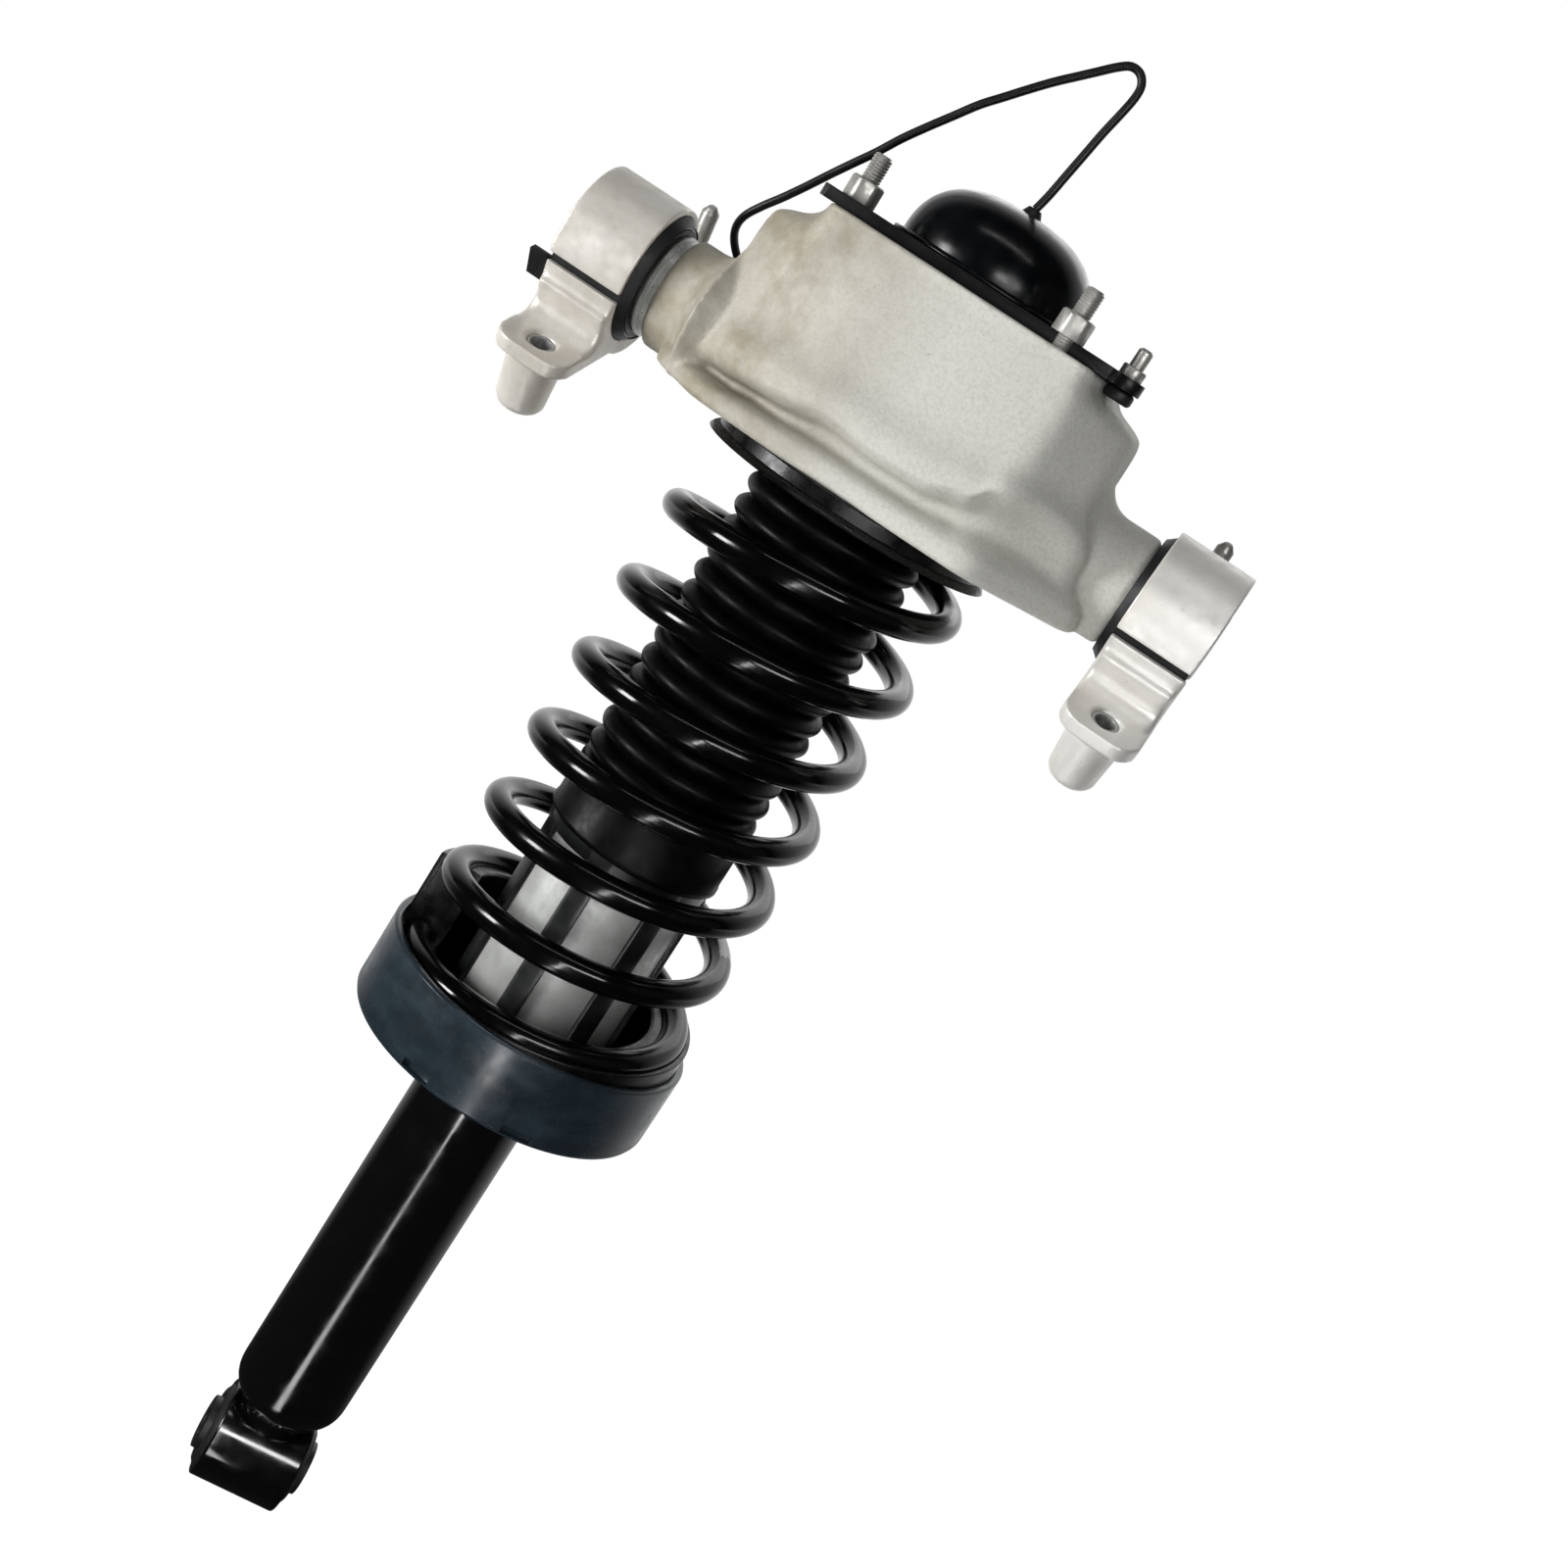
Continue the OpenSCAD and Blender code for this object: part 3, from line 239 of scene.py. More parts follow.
cameraView = {
    "place": (0.1381, -0.8315, 0.6115),
    "azimuth": 6.76,  # degrees towards +X
    "pitch": 14.03,
    "roll": 32.96,
    "focal": 2131,  # in pixels
    "frame": 1600,  # width of the render in pixels
}
azimuth, pitch = math.radians(cameraView["azimuth"]), math.radians(cameraView["pitch"])
forward = Vector((-math.sin(azimuth) * math.cos(pitch), math.cos(azimuth) * math.cos(pitch),
                  -math.sin(pitch)))
camera = bpy.data.objects.new("camera", bpy.data.cameras.new("camera"))
bpy.context.scene.collection.objects.link(camera)
camera.data.sensor_width = 36
camera.data.lens = cameraView["focal"] / cameraView["frame"] * 36
camera.data.clip_start, camera.data.clip_end = 0.05, 20
turned = forward.to_track_quat("-Z", "Y").to_matrix().to_4x4()
camera.matrix_world = (Matrix.Translation(cameraView["place"]) @ turned
                       @ Matrix.Rotation(math.radians(cameraView["roll"]), 4, "Z"))
bpy.context.scene.camera = camera

cableValues = {
    "diameter": 3.5,
    "route": [  # mm, heights above the trunnion axis
        (0, 0, 103), (1.5, 0.5, 110), (3, 1, 120), (4.5, 1.5, 130), (6, 2, 140), (8, 2, 150),
        (9, 2.5, 157), (8.5, 3, 162), (5.5, 3.5, 165.5), (1, 4, 166), (-3.5, 4, 163),
        (-9, 4.5, 158), (-15, 5, 152.5), (-21, 5.5, 147), (-28, 6.5, 140), (-35, 7, 132.5),
        (-42, 7.5, 125), (-49, 8.5, 116), (-55.5, 9, 107.5), (-62, 9.5, 98.5), (-68, 10, 89),
        (-74, 10.5, 80.5), (-80, 11.5, 72), (-86, 12, 63), (-92, 12.5, 54.5), (-98, 14, 47),
        (-103, 17, 40), (-105, 22, 34), (-104, 28, 28.5), (-100.5, 34.5, 23),
        (-95.5, 40.5, 18), (-90, 45.5, 13), (-86, 48.5, 8), (-85, 49, 2)],
}


def smoothLine(points, cuts):
    # chords between the points, on one smooth curve through them
    line, last = [], len(points) - 1
    for i in range(last):
        before, a, b, after = (points[min(max(i + k, 0), last)] for k in (-1, 0, 1, 2))
        for k in range(cuts):
            t = k / cuts
            line.append(0.5 * (2 * a + (b - before) * t
                               + (2 * before - 5 * a + 4 * b - after) * t * t
                               + (3 * a - before - 3 * b + after) * t ** 3))
    return line + [points[-1]]


cableLine = bpy.data.curves.new("damperCable", "CURVE")
cableLine.dimensions = "3D"
cableLine.bevel_depth = cableValues["diameter"] / 2 * mm
cableLine.bevel_resolution = 6
cableLine.use_fill_caps = True
cablePath = smoothLine([Vector((x, y, z + trunnionHeight)) * mm
                        for x, y, z in cableValues["route"]], 4)
cableSpline = cableLine.splines.new("POLY")
cableSpline.points.add(len(cablePath) - 1)
for point, place in zip(cableSpline.points, cablePath):
    point.co = (*place, 1)
cable = bpy.data.objects.new("damperCable", cableLine)
bpy.context.scene.collection.objects.link(cable)

lightValues = {
    "sky": 0.22,  # plain light from all sides
    "key": (20, 0.35, 0.45, (-1.18, -0.84, 0.5)),  # watts, width, height, place
    "strip": (0.9, 0.03, 0.5, (0.09, -0.5, 0.22)),
    "bar": (0.7, 0.7, 0.04, (0, -0.36, 1.2)),
    "lowBar": (6, 0.6, 0.18, (0.5, -1.06, 0.8)),  # only gloss sees this one
    "fill": (0.3, 1.2, 1.2, (1.5, -0.3, 0.9)),
    "back": (3, 1.4, 0.8, (0.1, 1.6, 1.3)),
    "dark": 0.02,  # what gloss sees of the room before the object
    "card": (0.016, 6, 0.1655, -0.13),  # half width, strength, slant and near end, for gloss only
    "floor": -0.06,  # height
}
for lampName in ("key", "strip", "bar", "lowBar", "fill", "back"):
    power, width, height, place = lightValues[lampName]
    aim = Vector((0, 0, place[2] if lampName == "strip" else 0.4))
    lamp = bpy.data.objects.new(lampName, bpy.data.lights.new(lampName, "AREA"))
    lamp.data.shape, lamp.data.size, lamp.data.size_y = "RECTANGLE", width, height
    lamp.data.energy = power
    lamp.visible_camera = False
    lamp.visible_diffuse = lampName != "lowBar"
    lamp.matrix_world = (Matrix.Translation(place)
                         @ (aim - Vector(place)).to_track_quat("-Z", "Y").to_matrix().to_4x4())
    bpy.context.scene.collection.objects.link(lamp)

white = hexColour("#ffffff")
world = bpy.data.worlds.new("studio")
bpy.context.scene.world = world
world.use_nodes = True
tree = world.node_tree
tree.nodes.clear()
rays = addNode(tree, "ShaderNodeLightPath").outputs
heading = addNode(tree, "ShaderNodeSeparateXYZ", {
    0: addNode(tree, "ShaderNodeTexCoord").outputs["Generated"]}).outputs
# gloss shows a white backdrop behind the object and a darker room before it
behind = addNode(tree, "ShaderNodeMapRange", {
    "Value": heading["Y"], "From Min": 0.3, "From Max": 0.85,
    "To Min": lightValues["dark"], "To Max": 1.0})
plain = addNode(tree, "ShaderNodeBackground", {"Color": white, "Strength": lightValues["sky"]})
shown = addNode(tree, "ShaderNodeBackground", {"Color": white, "Strength": 1.0})
mirrored = addNode(tree, "ShaderNodeBackground", {"Color": white, "Strength": behind})
glossy = addNode(tree, "ShaderNodeMath", {
    0: rays["Is Glossy Ray"], 1: rays["Is Transmission Ray"]}, operation="MAXIMUM")
withGloss = addNode(tree, "ShaderNodeMixShader", {0: glossy, 1: plain, 2: mirrored})
sky = addNode(tree, "ShaderNodeMixShader", {0: rays["Is Camera Ray"], 1: withGloss, 2: shown})
addNode(tree, "ShaderNodeOutputWorld", {"Surface": sky})
bpy.context.scene.view_settings.view_transform = "Standard"

floorMaterial = bpy.data.materials.new("paleFloor")
floorMaterial.use_nodes = True
tree = floorMaterial.node_tree
tree.nodes.clear()
rays = addNode(tree, "ShaderNodeLightPath").outputs
matt = addNode(tree, "ShaderNodeBsdfDiffuse", {"Color": hexColour("#f4f4f4")})
lit = addNode(tree, "ShaderNodeEmission", {"Color": white, "Strength": 1.33})
lift = addNode(tree, "ShaderNodeMath", {0: rays["Is Camera Ray"], 1: 0.72}, operation="MULTIPLY")
pale = addNode(tree, "ShaderNodeMixShader", {0: lift, 1: matt, 2: lit})
spot = addNode(tree, "ShaderNodeSeparateXYZ", {
    0: addNode(tree, "ShaderNodeNewGeometry").outputs["Position"]}).outputs
deep = addNode(tree, "ShaderNodeMapRange", {
    "Value": spot["Y"], "From Min": 0.1, "From Max": 0.9,
    "To Min": lightValues["dark"], "To Max": 1.0})
# the card lies on the floor before the object and draws the long streak on the tube
cardHalf, cardStrength, cardSlant, cardEnd = lightValues["card"]
aside = addNode(tree, "ShaderNodeMath", {0: spot["Y"], 1: cardSlant, 2: spot["X"]},
                operation="MULTIPLY_ADD")
card = addNode(tree, "ShaderNodeMapRange", {
    "Value": addNode(tree, "ShaderNodeMath", {0: aside}, operation="ABSOLUTE"),
    "From Min": cardHalf * 0.6, "From Max": cardHalf * 1.4, "To Min": cardStrength, "To Max": 0})
nearer = addNode(tree, "ShaderNodeMath", {0: spot["Y"], 1: cardEnd}, operation="LESS_THAN")
lifted = addNode(tree, "ShaderNodeMath", {0: card, 1: nearer, 2: deep},
                 operation="MULTIPLY_ADD")
mirroredFloor = addNode(tree, "ShaderNodeEmission", {"Color": white, "Strength": lifted})
ground = addNode(tree, "ShaderNodeMixShader", {
    0: rays["Is Glossy Ray"], 1: pale, 2: mirroredFloor})
addNode(tree, "ShaderNodeOutputMaterial", {"Surface": ground})
floor = newPiece("floor", [(x, y, lightValues["floor"])
                           for x, y in ((-6, -6), (6, -6), (6, 6), (-6, 6))],
                 [(0, 1, 2, 3)], floorMaterial)
print("light and floor set")


def startMaterial(name, colour, **shader):
    # a Principled material with its plain values set on the shader
    material = bpy.data.materials.new(name)
    material.use_nodes = True
    made = material.node_tree
    made.nodes.clear()
    surface = addNode(made, "ShaderNodeBsdfPrincipled", {"Base Color": hexColour(colour)})
    for key, value in shader.items():
        surface.inputs[key.replace("_", " ")].default_value = value
    addNode(made, "ShaderNodeOutputMaterial", {"Surface": surface})
    material.diffuse_color = hexColour(colour)
    return material, made, surface


def grain(made, size, detail=2, roughness=0.5, stretch=(1, 1, 1)):
    # noise in object space, size in mm
    place = addNode(made, "ShaderNodeTexCoord").outputs["Object"]
    spread = addNode(made, "ShaderNodeMapping", {"Vector": place, "Scale": stretch})
    return addNode(made, "ShaderNodeTexNoise", {
        "Vector": spread, "Scale": 1 / (size * mm), "Detail": detail, "Roughness": roughness})


def patches(made, low, high, least, most, *grained):
    # a grain ranged from least, where it is under low, to most, where it is over high
    return addNode(made, "ShaderNodeMapRange", {
        "Value": grain(made, *grained), "From Min": low, "From Max": high, "To Min": least,
        "To Max": most})


def tinted(made, coat, *layers):
    # thin coats over a colour: tint, range of the grain, most of the tint, grain
    for tint, low, high, most, *grained in layers:
        share = patches(made, low, high, 0, most, *grained)
        coat = addNode(made, "ShaderNodeMix", {0: share, 6: coat, 7: hexColour(tint)},
                       data_type="RGBA").outputs[2]
    return coat


def surfaced(made, surface, coat, sheen, *relief):
    # sheen is the least and most roughness and its grain; relief is depth in mm and grain,
    # the coarse ones first
    least, most, *grained = sheen
    made.links.new(coat, surface.inputs["Base Color"])
    made.links.new(patches(made, 0.3, 0.7, least, most, *grained).outputs[0],
                   surface.inputs["Roughness"])
    normal = None
    for depth, *grained in relief:
        inputs = {"Height": grain(made, *grained), "Distance": depth * mm, "Strength": 1.0}
        if normal:
            inputs["Normal"] = normal
        normal = addNode(made, "ShaderNodeBump", inputs)
    made.links.new(normal.outputs[0], surface.inputs["Normal"])


def castAluminium(name, colour, stainAndShade, pale, rough, grit, stainShadeStart, stainShadeFull, metal=0.12):
    # aluminium from a sand mould: matt, with grains drawn at 1.2 to 1.5 mm so that they show,
    # dull patches, and a darker colour that grows along x between the two given places, in mm,
    # which on the sand casting is partly an oil stain and partly painted shade
    material, made, surface = startMaterial(name, colour, Metallic=metal, Specular_IOR_Level=0.3)
    across = addNode(made, "ShaderNodeSeparateXYZ", {
        0: addNode(made, "ShaderNodeTexCoord").outputs["Object"]}).outputs["X"]
    # painted shade: the darker colour along x is partly an oil stain and partly painted shade
    oilAndShade = addNode(made, "ShaderNodeMapRange", {
        "Value": across, "From Min": stainShadeStart * mm, "From Max": stainShadeFull * mm, "To Min": 0.0,
        "To Max": 0.95})
    share = addNode(made, "ShaderNodeMath", {
        0: patches(made, 0.35, 0.65, 0.6, 1.0, 30, 4, 0.6), 1: oilAndShade}, operation="MULTIPLY")
    stainedAndShaded = addNode(made, "ShaderNodeMix", {
        0: share, 6: hexColour(colour), 7: hexColour(stainAndShade)}, data_type="RGBA").outputs[2]
    coat = tinted(made, stainedAndShaded, (pale, 0.4, 0.8, 0.3, 9, 4, 0.65),
                  ("#8f8b80", 0.42, 0.66, grit, 1.5, 2, 0.6),
                  ("#6f695c", 0.7, 0.78, 0.35, 2.2, 2, 0.6))
    surfaced(made, surface, coat, (rough - 0.08, rough + 0.12, 5, 4), (0.05, 6, 3, 0.6),
             (grit, 1.2, 3, 0.7))
    return material


def glossEnamel(name, colour, peel=2.5, depth=0.02, rough=0.12, dust=0.05, shine=0.5,
                mark=None):
    # sprayed enamel over steel: a deep gloss with orange peel of 2 to 4 mm and a little settled
    # dust; mark is a worn paint mark on the wire's outer side: its climb and least radius in mm
    material, made, surface = startMaterial(name, colour, IOR=1.5, Specular_IOR_Level=shine)
    coat = tinted(made, hexColour(colour), ("#8d8c88", 0.62, 0.8, dust, 1.4, 3, 0.7))
    if mark:
        low, high, least = mark
        climbed = addNode(made, "ShaderNodeMath", {
            0: addNode(made, "ShaderNodeAttribute", attribute_name="climb").outputs["Fac"],
            1: patches(made, 0.3, 0.7, -0.0012, 0.0012, 4, 3, 0.7)})
        flat = addNode(made, "ShaderNodeVectorMath", {
            0: addNode(made, "ShaderNodeTexCoord").outputs["Object"], 1: (1, 1, 0)},
            operation="MULTIPLY")
        radius = addNode(made, "ShaderNodeVectorMath", {0: flat}, operation="LENGTH")
        outside = addNode(made, "ShaderNodeMath", {
            0: radius.outputs["Value"], 1: least * mm}, operation="GREATER_THAN")
        painted = addNode(made, "ShaderNodeMath", {
            0: climbed, 1: (low + high) / 2, 2: (high - low) / 2}, operation="COMPARE")
        here = addNode(made, "ShaderNodeMath", {0: painted, 1: outside}, operation="MULTIPLY")
        coat = addNode(made, "ShaderNodeMix", {0: here, 6: coat, 7: hexColour("#e4e2e0")},
                       data_type="RGBA").outputs[2]
    surfaced(made, surface, coat, (rough, rough + 0.12, 12, 3), (depth, peel, 2))
    return material


def mouldedRubber(name, colour, rough=0.5, texture=0.7, bloom="#3a3b3c", shine=0.35):
    # carbon-black rubber from a steel mould: fine spark-eroded texture and a grey bloom
    material, made, surface = startMaterial(name, colour, IOR=1.5, Specular_IOR_Level=shine)
    coat = tinted(made, hexColour(colour), (bloom, 0.5, 0.75, 0.35, 18, 4, 0.6))
    surfaced(made, surface, coat, (rough - 0.08, rough + 0.14, 7, 3), (0.03, texture, 2, 0.7))
    return material


def mouldedPlastic(name, colour, tint, rough=0.4, texture=0.5, depth=0.012, shine=0.5):
    # injection-moulded plastic: fine mould texture, faint flow clouds
    material, made, surface = startMaterial(name, colour, IOR=1.48, Specular_IOR_Level=shine)
    coat = tinted(made, hexColour(colour), (tint, 0.4, 0.7, 0.55, 26, 3, 0.55, (1, 1, 2.5)))
    surfaced(made, surface, coat, (rough - 0.06, rough + 0.1, 9, 4), (depth, texture, 2, 0.6))
    return material


def zincPlate(name, colour, dull, rough=0.32, metal=1.0):
    # bright zinc on pressed or turned steel: a cloudy sheen with fine tool lines
    material, made, surface = startMaterial(name, colour, Metallic=metal)
    coat = tinted(made, hexColour(colour), (dull, 0.4, 0.7, 0.7, 6, 4, 0.6))
    surfaced(made, surface, coat, (rough - 0.06, rough + 0.16, 3, 4),
             (0.015, 0.6, 2, 0.6, (1, 1, 6)))
    return material


# the sand casting darkens from x = 8 to x = -55 mm: partly a brownish oil stain, partly painted shade on its
# left side
sandCast = castAluminium("sandCastAluminium", "#cecdc6", "#857c66", "#d6d5cf", 0.6, 0.2, 8, -55)
dieCast = castAluminium("blastedCastAluminium", "#ecebe8", "#c8c2b7", "#f2f1ef", 0.4, 0.04, 180,
                        80, 0.32)
coilEnamel = glossEnamel("bakedEnamelOnSpringSteel", "#040405", 3.0, 0.03, 0.1, 0.03, 0.28,
                         (0.2205, 0.2295, 56.5))
tubeEnamel = glossEnamel("sprayedEnamelOnSteelTube", "#050506", 4.0, 0.012, 0.08, 0.03, 0.8)
blackRubber = mouldedRubber("mouldedBlackRubber", "#101112")
bootRubber = mouldedRubber("blowMouldedRubber", "#030304", 0.4, 0.9, "#08090b", 0.1)
glossRubber = mouldedRubber("glossMouldedRubber", "#050506", 0.26, 1.2, "#0c0d0e", 0.3)
slatePlastic = mouldedPlastic("injectionMouldedPolyamide", "#1b242a", "#2d3a42", 0.24)
cagePlastic = mouldedPlastic("injectionMouldedBlackPolypropylene", "#0b0c0d", "#141618", 0.34)
domePlastic = mouldedPlastic("pressMouldedBlackAbs", "#060709", "#0b1014", 0.2, 1.5, 0.006, 0.22)
cableSheath = mouldedPlastic("extrudedPvcSheath", "#08080a", "#101114", 0.4, 1.0, 0.001, 0.3)
brightZinc = zincPlate("brightZincPlatedSteel", "#b4b3ae", "#86847e", 0.36, 0.6)
sleeveZinc = zincPlate("rolledZincPlatedSheet", "#b4b6b4", "#9a9a95", 0.4, 0.3)
turnedSteel = zincPlate("turnedSteel", "#a9a9a8", "#8c8b88", 0.36, 0.6)
turnedAluminium = zincPlate("turnedAluminium", "#b9bab8", "#94948f", 0.3, 0.55)
groundChrome = zincPlate("groundHardChrome", "#d9dadb", "#c9cacc", 0.1)
plateCoat = glossEnamel("electroCoatedSteelPlate", "#070708", 1.6, 0.03, 0.32, 0.1, 0.25)
phosphate = mouldedPlastic("phosphatedSteel", "#121315", "#1d1e20", 0.42, 0.8, 0.02)
stopFoam = mouldedRubber("microcellularFoam", "#c9bd92", 0.8, 1.4, "#b3a67b")
print("materials made")

castValues = {
    "drop": 25, "rise": 64, "rearY": 69, "rearHalf": 20, "rearSide": 47,
    "lipRight": 9, "lipFade": (14, 18),  # the lip stands out at the right, less so higher up
    "front": 40,  # the ridge rises in full this far before the axis
    "neck": 24, "neckDepth": 0.86, "neckRoot": 56, "neckStart": 84, "fillet": 13,
    # extra depth where a neck meets the body, left and right, and where it starts and ends
    "flare": {-1: 0.42, 1: -0.05}, "flareStart": (50, 34), "flareEnd": (101, 19),
    "journal": 16, "journalFace": 20.4, "collarIn": 108.5, "bushIn": 113.4, "bushOut": 150,
    "chamber": 42, "chamberHeight": 32, "floor": 9, "bore": 31, "coreBore": 18,
    "pocket": (69, -29, 6.1, 5.1),  # place, radius and depth, under the small stud
    "trim": (200, 61, 100),  # half width, half depth and height of what is cut off the necks
    "voxel": 1.21, "smoothing": 8, "relief": (0.07, 15),
    # x and rise of the ridge over the groove
    "ridge": ((-90, -7), (-62, -5), (-38, -2.5), (-13, 1.5), (10, 0), (28, 0.5), (44, 4.5),
              (55, 12), (70, 15)),
}
# height, shoulder half width and depth, panel half width and depth, bow, rounding,
# share of the ridge's rise, extra width at the left
castLevels = [
    (-25, 91, 20, 58, 57, 1, 7, 0, 6), (-23.4, 95, 22, 60, 59.5, 1, 8, 0, 8),
    (-17.5, 95, 23, 60, 59, 1, 8, 0.05, 9), (-15, 92, 24, 58, 56, 1, 8, 0.2, 11),
    (-12.5, 87, 26, 55, 46.5, 1, 8, 0.4, 14), (-9.5, 85, 28, 54, 46, 2, 8, 0.8, 15),
    (-6, 84.5, 30, 56, 53.5, 3.4, 8, 1, 15), (-2, 84, 30, 57.5, 57.5, 3.9, 8, 1, 15),
    (4, 84, 30, 57.5, 56.8, 3.9, 8, 0.75, 13), (18, 84, 30, 57.5, 52.5, 3.2, 7.5, 0.25, 12),
    (40, 84, 27, 57.5, 50.5, 3, 7, 0, 6), (49.5, 83, 24, 57.5, 49.5, 3, 6, 0, 3),
    (52.5, 79, 23, 57.5, 49.2, 3, 6, 0, 2.5), (56, 70, 22, 57.5, 48.8, 3, 6, 0, 2),
    (60.5, 66, 20, 57.5, 48.4, 3, 6, 0, 1), (62.4, 66, 19, 58.2, 49.4, 3, 6, 0, 0),
    (64, 66, 18, 58, 49.2, 3, 6, 0, 0)]
castTop = trunnionHeight + castValues["rise"]
castUnder = trunnionHeight - castValues["drop"]


def ridgeRise(x):
    # eased between the points of the ridge
    line = castValues["ridge"]
    x = min(max(x, line[0][0]), line[-1][0])
    for (x0, z0), (x1, z1) in zip(line, line[1:]):
        if x <= x1:
            t = (x - x0) / (x1 - x0)
            return z0 + (z1 - z0) * t * t * (3 - 2 * t)


def castRing(level, arcCuts=6, spanCuts=8):
    height, xs, ys, xp, yp, bow, size, share, extra = level
    rear = castValues["rearY"] - max(0, height - castValues["rise"] + 8) / 3
    half = castValues["rearHalf"]
    lipEnd, fade = castValues["lipFade"]
    right = xs + castValues["lipRight"] * min(1, max(0, (lipEnd - height) / fade))
    corners = [Vector(p) for p in (
        (right, -ys), (right, ys), (xp - 2, castValues["rearSide"]), (half, rear), (-half, rear),
        (2 - xp, castValues["rearSide"]), (-xs, ys), (-xs, -ys), (-xp - extra, extra * 0.8 - yp),
        (-xp / 2, -yp - bow * 0.75), (0, -yp - bow), (xp / 2, -yp - bow * 0.75), (xp, -yp))]
    arcs = []
    for i, b in enumerate(corners):
        a, d = corners[i - 1], corners[(i + 1) % len(corners)]
        p, q = b + (a - b).normalized() * size, b + (d - b).normalized() * size
        arcs.append([p * (1 - t) ** 2 + b * 2 * t * (1 - t) + q * t * t
                     for t in (k / arcCuts for k in range(arcCuts + 1))])
    outline = []
    for i, arc in enumerate(arcs):
        outline += arc
        start, end = arc[-1], arcs[(i + 1) % len(arcs)][0]
        outline += [start.lerp(end, k / spanCuts) for k in range(1, spanCuts)]
    ring = []
    for p in outline:
        front = min(1, max(0, -p.y / castValues["front"]))
        ring.append(Vector((p.x, p.y, trunnionHeight + height + share * front * ridgeRise(p.x))))
    return ring


def smoothSteps(rows, cuts):
    # Hermite rows between rows, with slopes that never overshoot
    count, made = len(rows), []
    for i in range(count - 1):
        for k in range(cuts):
            t = k / cuts
            row = []
            for j in range(len(rows[0])):
                point = []
                for axis in range(3):
                    values = [rows[min(max(i + s, 0), count - 1)][j][axis] for s in (-1, 0, 1, 2)]
                    d0, d1, d2 = (values[1] - values[0], values[2] - values[1],
                                  values[3] - values[2])
                    m0 = 0 if d0 * d1 <= 0 else 2 * d0 * d1 / (d0 + d1)
                    m1 = 0 if d1 * d2 <= 0 else 2 * d1 * d2 / (d1 + d2)
                    if i == 0:
                        m0 = d1
                    if i == count - 2:
                        m1 = d1
                    point.append((2 * t ** 3 - 3 * t ** 2 + 1) * values[1]
                                 + (t ** 3 - 2 * t ** 2 + t) * m0
                                 + (3 * t ** 2 - 2 * t ** 3) * values[2]
                                 + (t ** 3 - t ** 2) * m1)
                row.append(Vector(point))
            made.append(row)
    return made + [rows[-1]]


def castNeck(side):
    # a neck with its hollow fillet and its journal, flatter at the bush and flared at the body
    neck, fillet, root, start, journal, face = picked(
        castValues, "neck", "fillet", "neckRoot", "neckStart", "journal", "journalFace")
    end = castValues["collarIn"] if side < 0 else castValues["bushIn"] + 0.6
    tip = castValues["bushOut"] + 1.6
    arc = [(neck + fillet - fillet * math.sin(math.radians(a)),
            start + fillet * (1 - math.cos(math.radians(a)))) for a in range(0, 91, 6)]
    across = (Matrix.Translation((0, 0, trunnionHeight * mm))
              @ Matrix.Rotation(side * math.pi / 2, 4, "Y"))
    made = lathe("neck", [(0, root), (neck + fillet, root)] + arc + [
        (neck, end - 2.2), (neck - 1.6, end - 0.8), (face, end - 0.4), (face, end),
        (journal, end), (journal, tip - 1), (journal - 1, tip), (0, tip)], sandCast, 96,
        turn=across)
    nearBody, rise = castValues["flareStart"]
    nearBush, fall = castValues["flareEnd"]
    for v in made.data.vertices:
        if abs(v.co.x) < (end - 0.2) * mm:
            reach = abs(v.co.x) / mm
            t = min(1, max(0, (nearBush - reach) / fall)) * min(1, (reach - nearBody) / rise)
            v.co.y *= castValues["neckDepth"] + castValues["flare"][side] * t * t * (3 - 2 * t)
    # nothing of it hangs below the casting
    wide, deep, high = castValues["trim"]
    block = newPiece("block", [(x * wide * mm, y * deep * mm, castUnder * mm - z * mm)
                               for z in (high, 0)
                               for x, y in ((-1, -1), (1, -1), (1, 1), (-1, 1))],
                     [(3, 2, 1, 0), (4, 5, 6, 7), (0, 1, 5, 4), (1, 2, 6, 5), (2, 3, 7, 6),
                      (3, 0, 4, 7)])
    carve(made, block)
    return made


castRows = smoothSteps([castRing(level) for level in castLevels], 4)
count, sides = len(castRows), len(castRows[0])
casting = newPiece("mountCasting", [p * mm for row in castRows for p in row],
                   skinFaces(count, sides) + [tuple(reversed(range(sides))),
                                              tuple(range((count - 1) * sides, count * sides))],
                   sandCast)
outward(casting.data)
for side in (-1, 1):
    carve(casting, castNeck(side), "UNION")
chamber, bore, coreBore = picked(castValues, "chamber", "bore", "coreBore")
chamberLow = castTop - castValues["chamberHeight"]
chamberFloor = chamberLow - castValues["floor"]
carve(casting, lathe("hollow", [
    (0, castUnder - 2), (bore, castUnder - 2), (bore, chamberFloor), (coreBore, chamberFloor),
    (coreBore, chamberLow), (chamber, chamberLow), (chamber, castTop + 2), (0, castTop + 2)],
    sandCast, 96))
pocketX, pocketY, pocketRadius, pocketDepth = castValues["pocket"]
carve(casting, lathe("pocket", [
    (0, castTop - pocketDepth), (pocketRadius, castTop - pocketDepth),
    (pocketRadius, castTop + 2), (0, castTop + 2)], sandCast, 32,
    turn=Matrix.Translation((pocketX * mm, pocketY * mm, 0))))
remeshed(casting, *picked(castValues, "voxel", "smoothing", "relief"))
finishPiece(casting, "mount", "cast_aluminium", "mount_casting")
print("mount casting made,", len(casting.data.polygons), "faces")

bracketValues = {
    "voxel": 0.62, "smoothing": 5, "relief": (0.03, 9), "tilt": 24,
    # outward and upward range in mm, least distance from the trunnion axis
    "strap": (20, 40.5, -26, -2.4, 30), "strapSmoothing": 150,
}
frontTilt = math.radians(bracketValues["tilt"])


